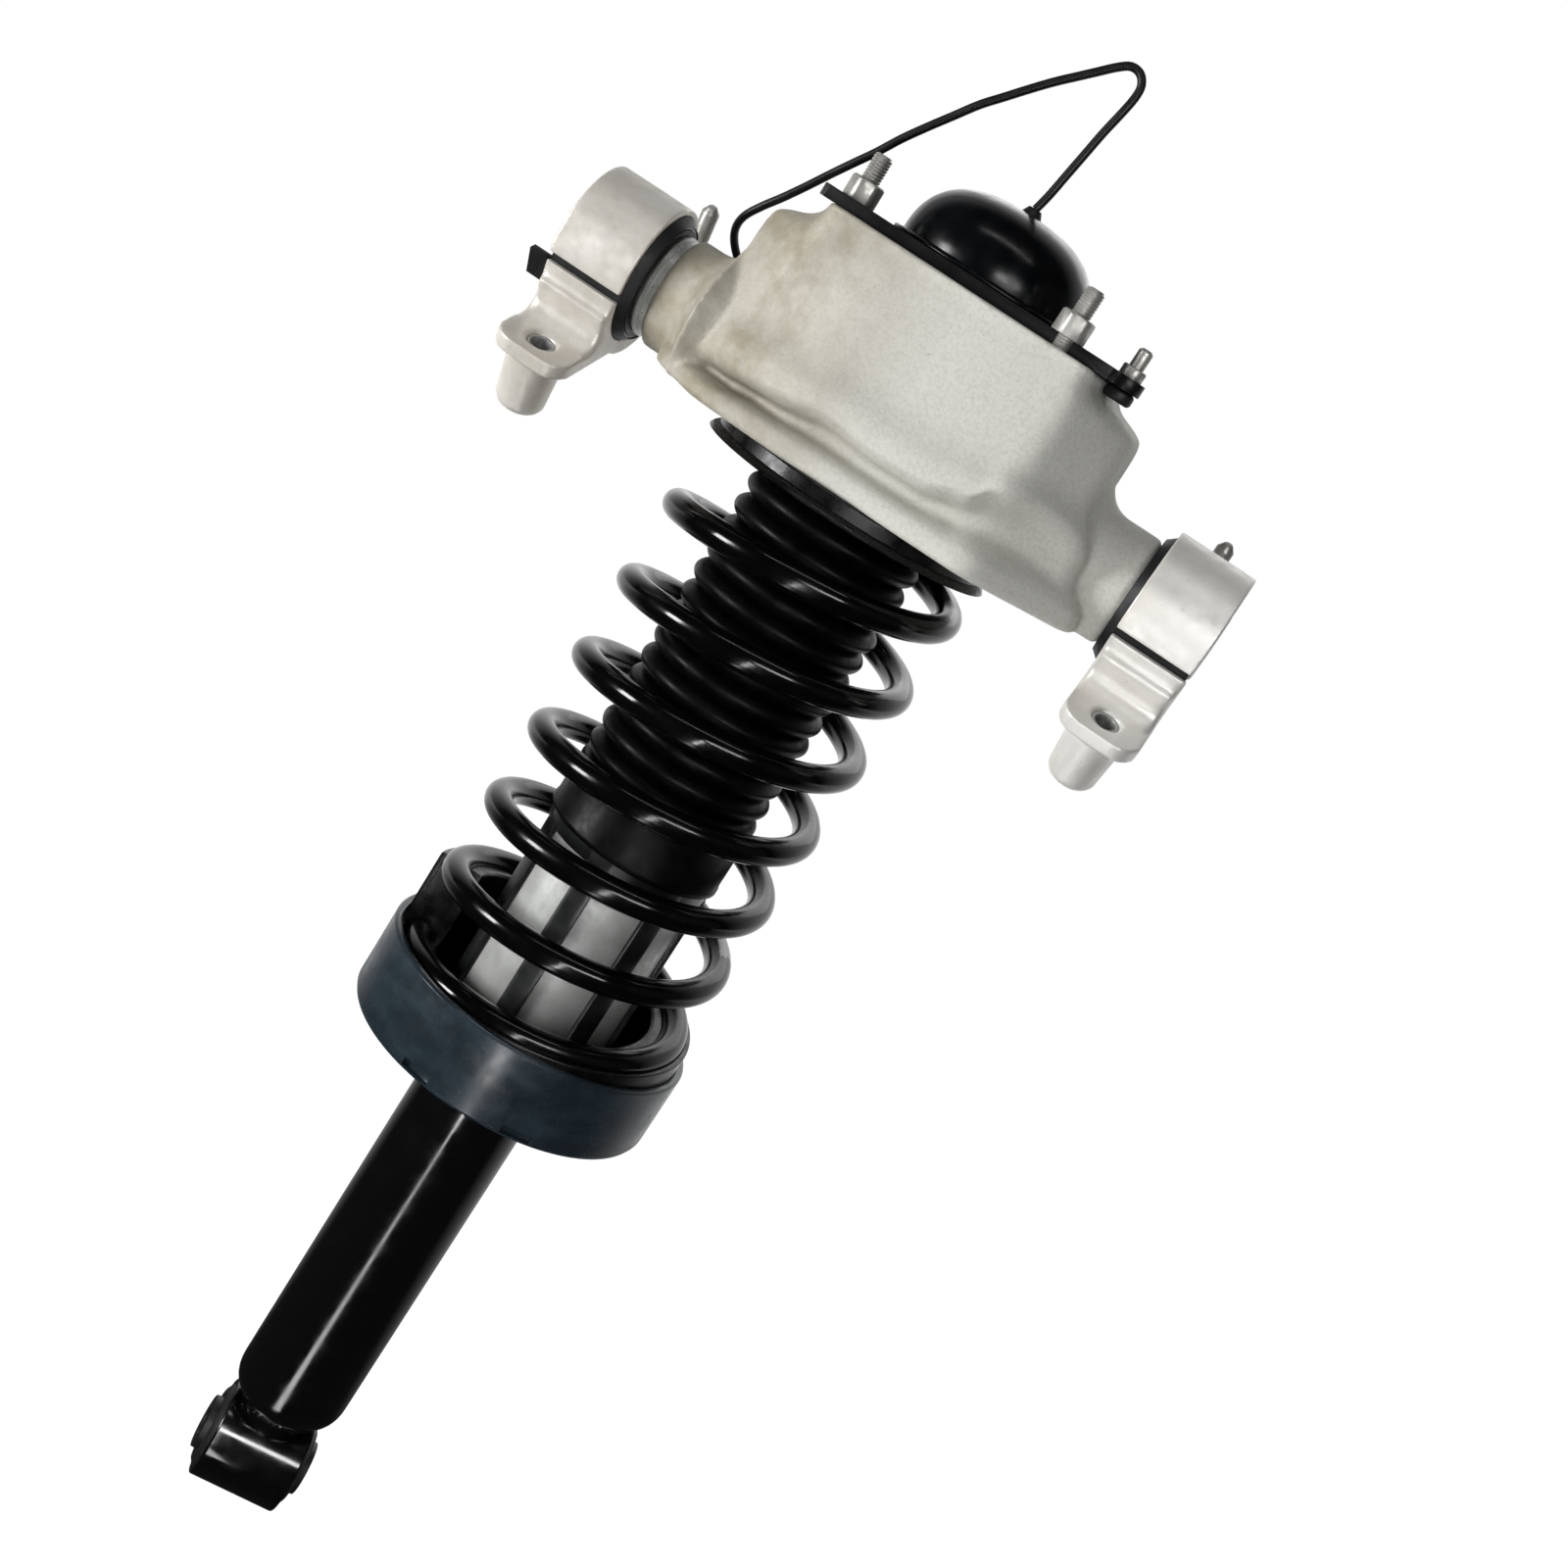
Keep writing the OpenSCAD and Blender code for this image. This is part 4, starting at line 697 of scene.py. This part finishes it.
def onStrap(p):
    # true between slit and ear, in the bracket's own tilted directions
    height = p.z - trunnionHeight * mm
    out = (-p.y * math.cos(frontTilt) - height * math.sin(frontTilt)) / mm
    up = (-p.y * math.sin(frontTilt) + height * math.cos(frontTilt)) / mm
    near, far, low, high, clear = bracketValues["strap"]
    return near < out < far and low < up < high and math.hypot(out, up) > clear


for side in ("left", "right"):
    bracket = placePiece(side + "Bracket", nodeMesh(side + "_bracket"), dieCast)
    remeshed(bracket, *picked(bracketValues, "voxel", "smoothing", "relief"))
    strap = bracket.vertex_groups.new(name="strap")
    strap.add([v.index for v in bracket.data.vertices if onStrap(v.co)], 1.0, "REPLACE")
    ease = bracket.modifiers.new("easeStrap", "SMOOTH")
    ease.factor, ease.iterations = 0.5, bracketValues["strapSmoothing"]
    ease.vertex_group = "strap"
    baked(bracket, 180)
    finishPiece(bracket, "brackets", "cast_aluminium", side + "_bracket")
    print(side, "bracket made,", len(bracket.data.polygons), "faces")


def newTree(name, values):
    # a tree of Geometry Nodes with an input for each value and one for the material
    made = bpy.data.node_groups.new(name, "GeometryNodeTree")
    for label, value in values.items():
        kind = "NodeSocketInt" if isinstance(value, int) else "NodeSocketFloat"
        made.interface.new_socket(label, in_out="INPUT", socket_type=kind).default_value = value
    made.interface.new_socket("Material", in_out="INPUT", socket_type="NodeSocketMaterial")
    made.interface.new_socket("Geometry", in_out="OUTPUT", socket_type="NodeSocketGeometry")
    return made, addNode(made, "NodeGroupInput").outputs


def grown(name, made, shape, values, smoothAngle):
    # ends a tree, runs it on an empty mesh and keeps the result as a plain mesh
    real = addNode(made, "GeometryNodeRealizeInstances", {"Geometry": shape})
    given = made.nodes["Group Input"].outputs
    painted = addNode(made, "GeometryNodeSetMaterial", {
        "Geometry": real, "Material": given["Material"]})
    addNode(made, "NodeGroupOutput", {"Geometry": painted})
    host = bpy.data.objects.new(name, bpy.data.meshes.new(name))
    bpy.context.scene.collection.objects.link(host)
    step = host.modifiers.new(name, "NODES")
    step.node_group = made
    for item in made.interface.items_tree:
        if item.in_out == "INPUT":
            step[item.identifier] = values[item.name]
    return baked(host, smoothAngle)


coilValues = {
    "Radius": 59.0, "Wire": 6.0, "Low": 259.0, "High": 509.0, "Turns": 6.9, "Start": 190.0,
    "Gap": 4.0, "Steps": 720, "Sides": 28,
}
tree, given = newTree("woundCoil", coilValues)
line = addNode(tree, "GeometryNodeCurvePrimitiveLine")
wire = addNode(tree, "GeometryNodeResampleCurve", {"Curve": line, "Count": given["Steps"]})
full = addNode(tree, "ShaderNodeMath", {0: given["Turns"], 1: 360.0}, operation="MULTIPLY")
degrees = addNode(tree, "ShaderNodeMapRange", {
    "Value": addNode(tree, "GeometryNodeSplineParameter").outputs["Factor"],
    "To Min": given["Gap"], "To Max": full})
climb = addNode(tree, "ShaderNodeMath", {0: degrees, 1: full}, operation="DIVIDE")
height = addNode(tree, "ShaderNodeMapRange", {
    "Value": climb, "To Min": given["Low"], "To Max": given["High"]})
heading = addNode(tree, "ShaderNodeMath", {0: degrees, 1: given["Start"]}, operation="ADD")
angle = addNode(tree, "ShaderNodeMath", {0: heading}, operation="RADIANS")
across, inwards = [addNode(tree, "ShaderNodeMath", {
    0: addNode(tree, "ShaderNodeMath", {0: angle}, operation=operation), 1: given["Radius"]},
    operation="MULTIPLY") for operation in ("COSINE", "SINE")]
place = addNode(tree, "ShaderNodeCombineXYZ", {0: across, 1: inwards, 2: height})
helix = addNode(tree, "GeometryNodeSetPosition", {
    "Geometry": wire,
    "Position": addNode(tree, "ShaderNodeVectorMath", {0: place, "Scale": mm},
                        operation="SCALE")})
kept = addNode(tree, "GeometryNodeStoreNamedAttribute", {
    "Geometry": helix, "Name": "climb", "Value": climb}, data_type="FLOAT", domain="POINT")
section = addNode(tree, "GeometryNodeCurvePrimitiveCircle", {
    "Resolution": given["Sides"],
    "Radius": addNode(tree, "ShaderNodeMath", {0: given["Wire"], 1: mm}, operation="MULTIPLY")})
swept = addNode(tree, "GeometryNodeCurveToMesh", {
    "Curve": kept, "Profile Curve": section, "Fill Caps": True})
coil = grown("coilSpring", tree, swept, {**coilValues, "Material": coilEnamel}, 50)
outward(coil.data)


def followStroke(piece, low, high, share):
    # the piece stretches between mount and damper; share says how far a point goes with the damper
    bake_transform(piece, "damper", "mount", start=(0, 0, low * mm), end=(0, 0, high * mm))
    weights = piece.data.attributes["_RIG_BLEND"]
    weights.data.foreach_set("value", [1 - min(1.0, max(0.0, share(i, v.co)))
                                       for i, v in enumerate(piece.data.vertices)])


climbs = [item.value for item in coil.data.attributes["climb"].data]
seated = 1 / coilValues["Turns"]  # the first turn lies on the isolator and goes with the damper
followStroke(coil, coilValues["Low"], coilValues["High"],
             lambda i, p: (1 - climbs[i]) / (1 - seated))
finishPiece(coil, None, "black_enamel", "coil_spring")
print("coil made,", len(coil.data.polygons), "faces")

isolatorValues = {
    "radius": 59, "inner": 47.5, "lowOuter": 67.5, "upOuter": 61.5, "base": 239, "groove": 6.3,
    "low": 259, "high": 509, "pitch": 250 / 6.9, "under": 520, "steps": 240, "ramp": 100,
    "start": 190, "upStart": 190 + 6.9 * 360 + 4, "stop": 356,
}


def formedRing(name, sections, start, material):
    points, count = [], len(sections)
    for i, outline in enumerate(sections):
        a = math.radians(start + 360 * i / count)
        points += [Vector((r * math.cos(a), r * math.sin(a), z)) * mm for r, z in outline]
    piece = newPiece(name, points, skinFaces(count, len(sections[0]), True), material, 50)
    outward(piece.data)
    return piece


def grooveArc(z, first, last, cuts=14):
    radius, groove = picked(isolatorValues, "radius", "groove")
    angles = [math.radians(first + (last - first) * k / cuts) for k in range(cuts + 1)]
    return [(radius + groove * math.cos(a), z + groove * math.sin(a), 0) for a in angles]


def lowerSection(z):
    inner, outer, base = picked(isolatorValues, "inner", "lowOuter", "base")
    return roundedOutline([(inner, base, 0.6), (outer, base, 0.6), (outer, z, 1.6)]
                          + grooveArc(z, 0, -180) + [(inner, z, 2.0)], 3)


def upperSection(z):
    inner, outer, under = picked(isolatorValues, "inner", "upOuter", "under")
    return roundedOutline([(outer, under, 0.8), (inner, under, 0.8), (inner, z + 3.2, 1.6)]
                          + grooveArc(z, 150, 25) + [(outer, z + 2.4, 0.6)], 3)


low, high, pitch, steps, ramp, stop = picked(isolatorValues, "low", "high", "pitch", "steps",
                                             "ramp", "stop")
lowerIsolator = formedRing("lowerIsolator", [
    lowerSection(low + pitch * i / steps) for i in range(steps)],
    isolatorValues["start"], glossRubber)
finishPiece(lowerIsolator, "damper", "isolator_rubber", "lower_isolator")
upperIsolator = formedRing("upperIsolator", [
    upperSection(high - (pitch * (stop - back) / 360 if back > 360 - ramp else 0))
    for back in (i * 360 / steps for i in range(steps))], isolatorValues["upStart"], glossRubber)
finishPiece(upperIsolator, "mount", "isolator_rubber", "upper_isolator")
print("isolators made")

bootValues = {
    "crest": 40, "depth": 6, "folds": 14, "top": 517, "collarTop": 371, "collarLow": 344,
    "collar": 39.6, "wall": 1.4, "mouth": 31.2, "cuts": 14,
}
crest, depth, folds, cuts, bootTop, wall, mouth = picked(
    bootValues, "crest", "depth", "folds", "cuts", "top", "wall", "mouth")
collar, collarTop, collarLow = picked(bootValues, "collar", "collarTop", "collarLow")
foldPitch = (bootTop - collarTop) / folds
# narrow valleys between full crests
bootOuter = [(crest - depth * (1 - abs(math.sin(math.pi * k / cuts)) ** 0.55),
              bootTop - k / cuts * foldPitch) for k in range(folds * cuts + 1)]
bootOutline = [(mouth, bootTop)] + bootOuter + [
    (collar + out, z) for out, z in (
        (-1.2, collarTop - 0.4), (-0.3, collarTop - 1.4), (0, collarTop - 3),
        (0, collarLow + 3.4), (0.5, collarLow + 2.6), (0.5, collarLow + 0.6), (-0.2, collarLow),
        (-wall, collarLow), (-wall, collarTop - 3))]
bootOutline += [(r - wall, z) for r, z in reversed(bootOuter)][:-3] + [(mouth, bootTop - 2)]
boot = lathe("dustBoot", bootOutline, bootRubber, 144, 60)
followStroke(boot, collarTop, bootTop,
             lambda i, p: (bootTop * mm - p.z) / ((bootTop - collarTop) * mm))
finishPiece(boot, None, "boot_rubber", "dust_boot")
print("boot made")

plateTop = castTop + 5  # on the 5 mm plate
domeValues = {"radius": 40, "height": 31, "wall": 2.5, "flange": 1.6, "hole": 4.5}
radius, height, wall, flange, hole = picked(domeValues, "radius", "height", "wall", "flange",
                                            "hole")
domeTop = plateTop + height


def domeCurve(r, h, least, cuts=40):
    # from the flange up to the cable's hole
    curve = [(r * math.cos(math.pi / 2 * i / cuts) ** 0.75,
              plateTop + h * math.sin(math.pi / 2 * i / cuts) ** 0.8) for i in range(cuts)]
    return [p for p in curve if p[1] > least and p[0] > hole]


dome = lathe("domeCap", [
    (radius - wall, plateTop), (radius + 3.2, plateTop), (radius + 3.5, plateTop + 0.4),
    (radius + 3.5, plateTop + 1.1), (radius + 3, plateTop + flange),
    (radius + 0.6, plateTop + flange), (radius - 0.1, plateTop + flange + 0.5)]
    + domeCurve(radius, height, plateTop + flange + 0.8)
    + [(hole, domeTop), (hole, domeTop - wall)]
    + domeCurve(radius - wall, height - wall, plateTop)[::-1], domePlastic, 144, 50)
finishPiece(dome, "mount", "dome_plastic", "dome_cap")
grommetValues = {"start": 8, "tail": 3, "lip": 6, "neck": 4.5, "tip": 2.75, "rise": 3}
start, tail, lip, neck, tip, rise = picked(grommetValues, "start", "tail", "lip", "neck",
                                           "tip", "rise")
grommet = lathe("cableGrommet", roundedOutline([
    (0, plateTop + start, 0), (tail, plateTop + start, 0.4), (tail, domeTop - 4, 0.4),
    (lip, domeTop - 3.7, 0.4), (neck, domeTop - 2.5, 0.3), (neck, domeTop, 0.3),
    (neck - 0.4, domeTop + 0.5, 0.4), (tip, domeTop + rise, 0.4), (0, domeTop + rise, 0)]),
    blackRubber, 48)
finishPiece(grommet, "mount", "rubber_black", "cable_grommet")

cable.data.materials.append(cableSheath)
finishPiece(cable, "mount", "cable_sheath", "damper_cable")
connector = dressed("cableConnector", "cable_connector", cagePlastic, "mount", "black_plastic",
                    0.5)
print("dome and cable made")

studValues = {
    "Radius": 4.0, "Length": 25.0, "Pitch": 1.25, "Depth": 0.4, "Circle": 60.0, "Base": 609.0,
    "Count": 3, "Turn": 75.0, "Sides": 28, "Rings": 120,
}
tree, given = newTree("threadedStuds", studValues)
rod = addNode(tree, "GeometryNodeMeshCylinder", {
    "Vertices": given["Sides"], "Side Segments": given["Rings"], "Fill Segments": 1,
    "Radius": 1.0, "Depth": 1.0})
spot = addNode(tree, "ShaderNodeSeparateXYZ", {
    0: addNode(tree, "GeometryNodeInputPosition")}).outputs
raised = addNode(tree, "ShaderNodeMath", {0: spot["Z"], 1: 0.5}, operation="ADD")
along = addNode(tree, "ShaderNodeMath", {0: raised, 1: given["Length"]}, operation="MULTIPLY")
heading = addNode(tree, "ShaderNodeMath", {0: spot["Y"], 1: spot["X"]}, operation="ARCTAN2")
around = addNode(tree, "ShaderNodeMath", {0: heading, 1: 2 * math.pi}, operation="DIVIDE")
wound = addNode(tree, "ShaderNodeMath", {0: along, 1: given["Pitch"]}, operation="DIVIDE")
phase = addNode(tree, "ShaderNodeMath", {0: wound, 1: around}, operation="SUBTRACT")
thread = addNode(tree, "ShaderNodeMath", {0: phase, 1: 0.5}, operation="PINGPONG")
deeper = addNode(tree, "ShaderNodeMath", {0: thread, 1: 2.0}, operation="MULTIPLY")
left = addNode(tree, "ShaderNodeMath", {0: given["Length"], 1: along}, operation="SUBTRACT")
atEnd = addNode(tree, "ShaderNodeMath", {0: left, 1: 1.0, 2: 0.2}, operation="SMOOTH_MIN")
taper = addNode(tree, "ShaderNodeMath", {0: 1.0, 1: atEnd}, operation="SUBTRACT")
cut = addNode(tree, "ShaderNodeMath", {0: deeper, 1: given["Depth"], 2: taper},
              operation="MULTIPLY_ADD")
slim = addNode(tree, "ShaderNodeMath", {0: given["Radius"], 1: cut}, operation="SUBTRACT")
reach = addNode(tree, "ShaderNodeMath", {0: slim, 1: mm}, operation="MULTIPLY")
threaded = addNode(tree, "GeometryNodeSetPosition", {
    "Geometry": rod,
    "Position": addNode(tree, "ShaderNodeVectorMath", {
        0: addNode(tree, "ShaderNodeCombineXYZ", {0: spot["X"], 1: spot["Y"], 2: along}),
        1: addNode(tree, "ShaderNodeCombineXYZ", {0: reach, 1: reach, 2: mm})},
        operation="MULTIPLY")})
circle, base = [addNode(tree, "ShaderNodeMath", {0: given[key], 1: mm}, operation="MULTIPLY")
                for key in ("Circle", "Base")]
turn = addNode(tree, "ShaderNodeMath", {0: given["Turn"]}, operation="RADIANS")
placed = addNode(tree, "GeometryNodeTransform", {
    "Geometry": addNode(tree, "GeometryNodeMeshCircle", {
        "Vertices": given["Count"], "Radius": circle}),
    "Translation": addNode(tree, "ShaderNodeCombineXYZ", {2: base}),
    "Rotation": addNode(tree, "ShaderNodeCombineXYZ", {2: turn})})
studs = addNode(tree, "GeometryNodeInstanceOnPoints", {"Points": placed, "Instance": threaded})
topStuds = grown("topStuds", tree, studs, {**studValues, "Material": brightZinc}, 35)
finishPiece(topStuds, "mount", "zinc_steel", "top_studs")

for name, node, bevel in (("topNuts", "top_nuts", 0.35), ("smallNut", "small_nut", 0.25),
                          ("smallStud", "small_stud", 0.2), ("cableStrap", "connector_clip", 0.3)):
    dressed(name, node, brightZinc, "mount", "zinc_steel", bevel)
dressed("topPlate", "top_plate", plateCoat, "mount", "black_plate", 1.2)
dressed("studBoot", "stud_boot", blackRubber, "mount", "rubber_black", 0.8)
print("plate and studs made")

bushValues = {
    "face": 113.4, "ring": 117, "faceRadius": 25.6, "ringRadius": 28.6,
    "collarRadius": 22.4, "collarChamfer": 1.2,
}


def tapered(v):
    # the rubber's inboard flange narrows towards its face
    height = v.co.z - trunnionHeight * mm
    radius = math.hypot(v.co.y, height)
    if radius > 29 * mm and abs(v.co.x) < (bushValues["ring"] + 0.1) * mm:
        atFace = abs(v.co.x) < (bushValues["face"] + 0.5) * mm
        wanted = bushValues["faceRadius" if atFace else "ringRadius"] * mm
        v.co.y *= wanted / radius
        v.co.z = trunnionHeight * mm + height * wanted / radius


for side in ("left", "right"):
    for name, node, material, slot, bevel in (
            ("OuterRubber", "_outer_rubber", blackRubber, "rubber_black", 0.5),
            ("Interleaf", "_interleaf", turnedSteel, "zinc_steel", 0.2),
            ("InnerRubber", "_inner_rubber", blackRubber, "rubber_black", 0.5)):
        dressed(side + name, side + node, material, "brackets", slot, bevel,
                reshape=tapered if name == "OuterRubber" else None)
    dressed(side + "TrunnionSleeve", side + "_trunnion_sleeve", brightZinc, "mount",
            "zinc_steel", 0.4)
# the turned end of the casting's left neck
turnedRadius, chamfer = picked(bushValues, "collarRadius", "collarChamfer")
journal, collarIn = picked(castValues, "journal", "collarIn")
collarEnd = bushValues["face"] - 0.4
turnedCollar = lathe("turnedCollar", [
    (journal, collarIn - 1), (turnedRadius - 0.8, collarIn - 1),
    (turnedRadius - 0.8, collarIn + 1.2), (turnedRadius, collarIn + 1.6),
    (turnedRadius, collarEnd - chamfer), (turnedRadius - chamfer, collarEnd),
    (journal, collarEnd)], turnedAluminium, 96, 30,
    Matrix.Translation((0, 0, trunnionHeight * mm)) @ Matrix.Rotation(-math.pi / 2, 4, "Y"))
finishPiece(turnedCollar, "mount", "cast_aluminium")
dressed("bracketStuds", "bracket_studs", brightZinc, "brackets", "zinc_steel", 0.3)
dressed("earInserts", "ear_inserts", turnedSteel, "brackets", "zinc_steel", 0.3)
print("bushes made")

tubeValues = {"radius": 26.5, "low": 28, "top": 352, "corner": 14, "wall": 2.4, "bottom": 3}
radius, low, top, wall = picked(tubeValues, "radius", "low", "top", "wall")
inside = low + tubeValues["bottom"]
tube = lathe("damperTube", roundedOutline([
    (0, low, 0), (radius, low, tubeValues["corner"]), (radius, top, 0.5),
    (radius - wall, top, 0.4), (radius - wall, inside, 5), (0, inside, 0)], 10),
    tubeEnamel, 128, 50)
finishPiece(tube, "damper", "black_enamel", "damper_tube")

eyeValues = {
    "radius": 23, "bore": 20, "half": 21, "yaw": 18,
    "stem": [(0, 10), (15.5, 10), (15.5, 24), (17.2, 27.6), (19.5, 29.5), (0, 29.5)],
}
radius, bore, half = picked(eyeValues, "radius", "bore", "half")
crosswise = (Matrix.Rotation(math.radians(eyeValues["yaw"]), 4, "Z")
             @ Matrix.Rotation(math.pi / 2, 4, "Y"))
eye = lathe("lowerEye", roundedOutline([
    (bore, -half, 0.8), (radius, -half, 1.2), (radius, half, 1.2), (bore, half, 0.8)]),
    tubeEnamel, 128, turn=crosswise)
stem = lathe("stem", eyeValues["stem"], tubeEnamel, 96)
carve(stem, lathe("bore", [(0, -30), (bore, -30), (bore, 30), (0, 30)], tubeEnamel, 128,
                  turn=crosswise))
carve(eye, stem, "UNION")
softShade(eye.data, 40)
finishPiece(eye, "damper", "black_enamel", "lower_eye")

weldValues = {"radius": 19.6, "height": 29.2, "bead": 1.8, "ripples": 44, "ripple": 0.125}
radius, height, bead = picked(weldValues, "radius", "height", "bead")
weld = lathe("eyeWeld", [(radius + bead * math.cos(math.radians(a)),
                          height + bead * math.sin(math.radians(a)))
                         for a in range(0, 360, 20)], tubeEnamel, 264, 60)
for v in weld.data.vertices:  # the laid drops of the bead
    around = math.atan2(v.co.y, v.co.x)
    middle = Vector((radius * math.cos(around), radius * math.sin(around), height)) * mm
    swell = 1 + weldValues["ripple"] * math.sin(weldValues["ripples"] * around)
    v.co = middle + (v.co - middle) * swell
finishPiece(weld, "damper", "black_enamel")

for name, node, material, slot, bevel in (
        ("zincSleeve", "zinc_sleeve", sleeveZinc, "zinc_steel", 0.2),
        ("sleeveCage", "sleeve_cage", cagePlastic, "black_plastic", 0.4),
        ("seatRing", "seat_ring", plateCoat, "black_plate", 0.4),
        ("seatCup", "seat_cup", slatePlastic, "slate_plastic", 0.7),
        ("strikerCap", "striker_cap", cagePlastic, "black_plastic", 0.4),
        ("eyeRubber", "eye_rubber", blackRubber, "rubber_black", 0.4),
        ("seatCirclip", "seat_circlip", turnedSteel, "zinc_steel", 0.3)):
    dressed(name, node, material, "damper", slot, bevel)
dressed("eyeSleeve", "eye_sleeve", phosphate, "eye_sleeve", "eye_steel", 0.5)
dressed("bumpStopCup", "bump_stop_cup", cagePlastic, "mount", "black_plastic", 0.4)
print("damper made")

# parts inside the strut keep their CAD shape
insideFinish = {
    "top_mount_rubber": blackRubber, "top_mount_core": turnedSteel, "rod_washer": brightZinc,
    "rod_nut": brightZinc, "piston_rod": groundChrome, "piston": turnedSteel,
    "piston_band": cagePlastic, "piston_nut": brightZinc, "bump_stop": stopFoam,
    "inner_cylinder": turnedSteel, "rod_guide": turnedSteel, "rod_seal": blackRubber,
    "base_valve": turnedSteel,
}
for node, material in insideFinish.items():
    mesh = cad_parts[node].data
    mesh.materials.clear()
    mesh.materials.append(material)
print("inner parts finished")
